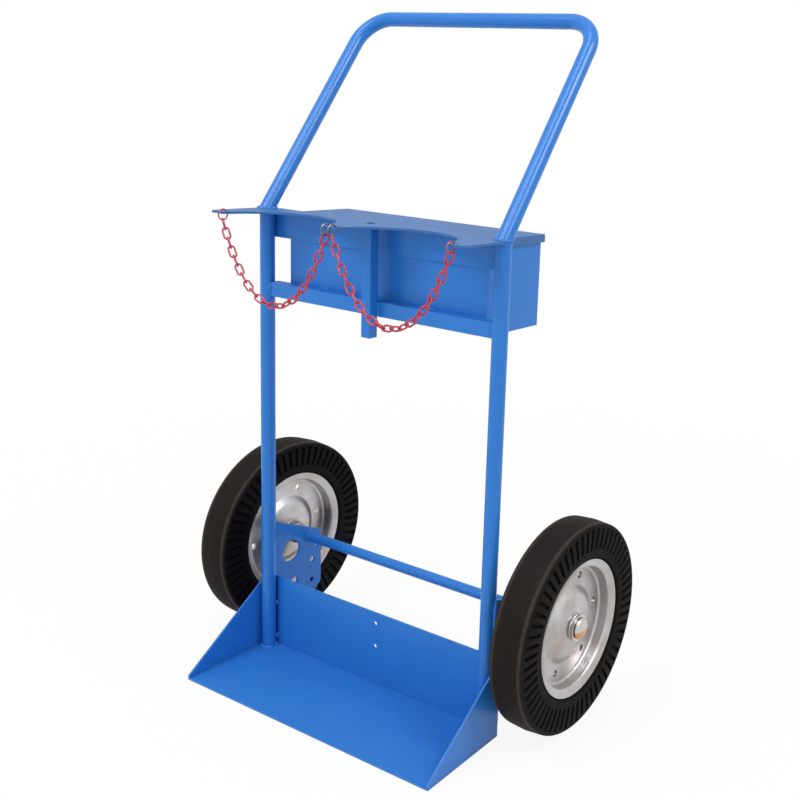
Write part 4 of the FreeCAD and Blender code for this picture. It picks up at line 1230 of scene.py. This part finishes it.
# The point that the lamps face, and where each stands, in metres
HEART = (0.0, 0.0, 0.6)
LAMP_PLACES = {
    "key_lamp": (-0.9, -1.9, 3.4),
    "fill_lamp": (2.1, 0.1, 2.9),
    "top_panel": (0.43, -1.14, 3.78),
    "side_panel": (2.57, 0.0, 2.97),
}
SENSOR_WIDTH = 36.0


def white_rays(tree):
    """The node that gives 1 for rays that should find a white studio: straight, mirrored or refracted."""
    rays = add_node(tree, "ShaderNodeLightPath").outputs
    seen = rays["Is Camera Ray"]
    for kind in ("Is Glossy Ray", "Is Transmission Ray"):
        seen = add_node(tree, "ShaderNodeMath", {"operation": "MAXIMUM"}, {0: seen, 1: rays[kind]})
    return seen


def add_floor(context):
    """A wide pale floor that shows white to the camera and keeps the trolley's shadow."""
    stage = context.scene.trolley_stage
    reach = stage.floor_reach
    mesh = bpy.data.meshes.new("studio_floor")
    corners = [(-reach, -reach, 0), (reach, -reach, 0), (reach, reach, 0), (-reach, reach, 0)]
    mesh.from_pydata(corners, [], [(0, 1, 2, 3)])
    floor = bpy.data.objects.new("studio_floor", mesh)
    context.scene.collection.objects.link(floor)
    floor.location.z = cad_low.z
    pale = opaque(context.scene.trolley_colours.floor)
    material, tree, matt, place = new_finish(
        "studio_floor", {"Base Color": pale, "Roughness": 0.9, "Specular IOR Level": 0.0})
    # The shadow shows near the trolley, and the floor fades to plain white further off
    away = add_node(tree, "ShaderNodeVectorMath", {"operation": "LENGTH"}, {0: place})
    fade_start = stage.shadow_reach / 3
    fade = add_node(tree, "ShaderNodeMapRange",
                    {"From Min": fade_start, "From Max": stage.shadow_reach,
                     "To Min": stage.floor_glow, "To Max": 1.0},
                    {"Value": away.outputs["Value"]})
    share = add_node(tree, "ShaderNodeMath", {"operation": "MULTIPLY"},
                     {0: white_rays(tree), 1: fade})
    glow = add_node(tree, "ShaderNodeEmission", {"Color": WHITE, "Strength": 1.0})
    add_node(tree, "ShaderNodeMixShader", None,
             {0: share, 1: matt, 2: glow}, tree.nodes["Material Output"].inputs["Surface"])
    mesh.materials.append(material)


def add_world(context):
    """Even light from all round, and white wherever the camera or a mirror looks past the trolley."""
    world = bpy.data.worlds.new("studio_world")
    context.scene.world = world
    world.use_nodes = True
    tree = world.node_tree
    light = tree.nodes["Background"]
    light.inputs["Color"].default_value = WHITE
    light.inputs["Strength"].default_value = context.scene.trolley_stage.sky
    white = add_node(tree, "ShaderNodeBackground", {"Color": WHITE, "Strength": 1.0})
    add_node(tree, "ShaderNodeMixShader", None,
             {0: white_rays(tree), 1: light, 2: white}, tree.nodes["World Output"].inputs["Surface"])


def add_lamp(context, name, size, power, mirrored_only=False):
    """A soft lamp, so wide and high, that faces the trolley; a mirrored-only one shows in gloss alone."""
    lamp = bpy.data.lights.new(name, "AREA")
    lamp.shape = "RECTANGLE"
    lamp.size, lamp.size_y = size
    lamp.energy = power
    holder = bpy.data.objects.new(name, lamp)
    context.scene.collection.objects.link(holder)
    holder.location = LAMP_PLACES[name]
    holder.visible_diffuse = not mirrored_only
    holder.rotation_mode = "QUATERNION"
    holder.rotation_quaternion = (Vector(HEART) - Vector(LAMP_PLACES[name])).to_track_quat("-Z", "Y")


def add_camera(context):
    """The camera at the photograph's place and angle."""
    stage = context.scene.trolley_stage
    camera = bpy.data.cameras.new("camera")
    camera.sensor_width = SENSOR_WIDTH
    camera.lens = stage.lens
    camera.shift_x, camera.shift_y = stage.shift
    holder = bpy.data.objects.new("camera", camera)
    context.scene.collection.objects.link(holder)
    eye, aim = Vector(stage.eye), Vector(stage.aim)
    holder.location = eye
    holder.rotation_mode = "QUATERNION"
    holder.rotation_quaternion = (aim - eye).to_track_quat("-Z", "Y") @ Quaternion((0, 0, 1), stage.roll)
    context.scene.camera = holder


class TROLLEY_OT_stage(bpy.types.Operator):
    """Lays the floor and sets up the light and the camera"""

    bl_idname = "trolley.stage"
    bl_label = "Stage"

    def execute(self, context):
        stage = context.scene.trolley_stage
        add_floor(context)
        add_world(context)
        add_lamp(context, "key_lamp", (stage.key_size, stage.key_size), stage.key_power)
        add_lamp(context, "fill_lamp", (stage.fill_size, stage.fill_size), stage.fill_power)
        short, long = stage.panel_width, stage.panel_length
        add_lamp(context, "top_panel", (short, long), stage.panel_power, True)
        add_lamp(context, "side_panel", (long, short), stage.panel_power, True)
        add_camera(context)
        context.scene.view_settings.view_transform = "Standard"
        return {"FINISHED"}


class TROLLEY_PT_panel(bpy.types.Panel):
    """Lists the settings and the steps that dress the trolley"""

    bl_idname = "TROLLEY_PT_panel"
    bl_label = "Gas cylinder trolley"
    bl_space_type = "VIEW_3D"
    bl_region_type = "UI"
    bl_category = "Trolley"

    def draw(self, context):
        layout = self.layout
        for group in GROUPS:
            settings = getattr(context.scene, group)
            column = layout.box().column()
            for name in settings.__annotations__:
                column.prop(settings, name)
        for step in STEPS:
            layout.operator(step.bl_idname)


GROUPS = {
    "trolley_sizes": TrolleySizes,
    "trolley_wheel": WheelSizes,
    "trolley_colours": TrolleyColours,
    "trolley_stage": StageSettings,
}
STEPS = (
    TROLLEY_OT_tube_frame,
    TROLLEY_OT_sheet_metal,
    TROLLEY_OT_toolbox,
    TROLLEY_OT_axle,
    TROLLEY_OT_tyres,
    TROLLEY_OT_rims,
    TROLLEY_OT_chains,
    TROLLEY_OT_welds,
    TROLLEY_OT_stage,
)


def register():
    for kind in (*GROUPS.values(), *STEPS, TROLLEY_PT_panel):
        bpy.utils.register_class(kind)
    for name, kind in GROUPS.items():
        setattr(bpy.types.Scene, name, bpy.props.PointerProperty(type=kind))


def unregister():
    for name in GROUPS:
        delattr(bpy.types.Scene, name)
    for kind in reversed((*GROUPS.values(), *STEPS, TROLLEY_PT_panel)):
        bpy.utils.unregister_class(kind)


def main():
    register()
    for step in STEPS:
        family, name = step.bl_idname.split(".")
        getattr(getattr(bpy.ops, family), name)()


if __name__ == "__main__":
    main()
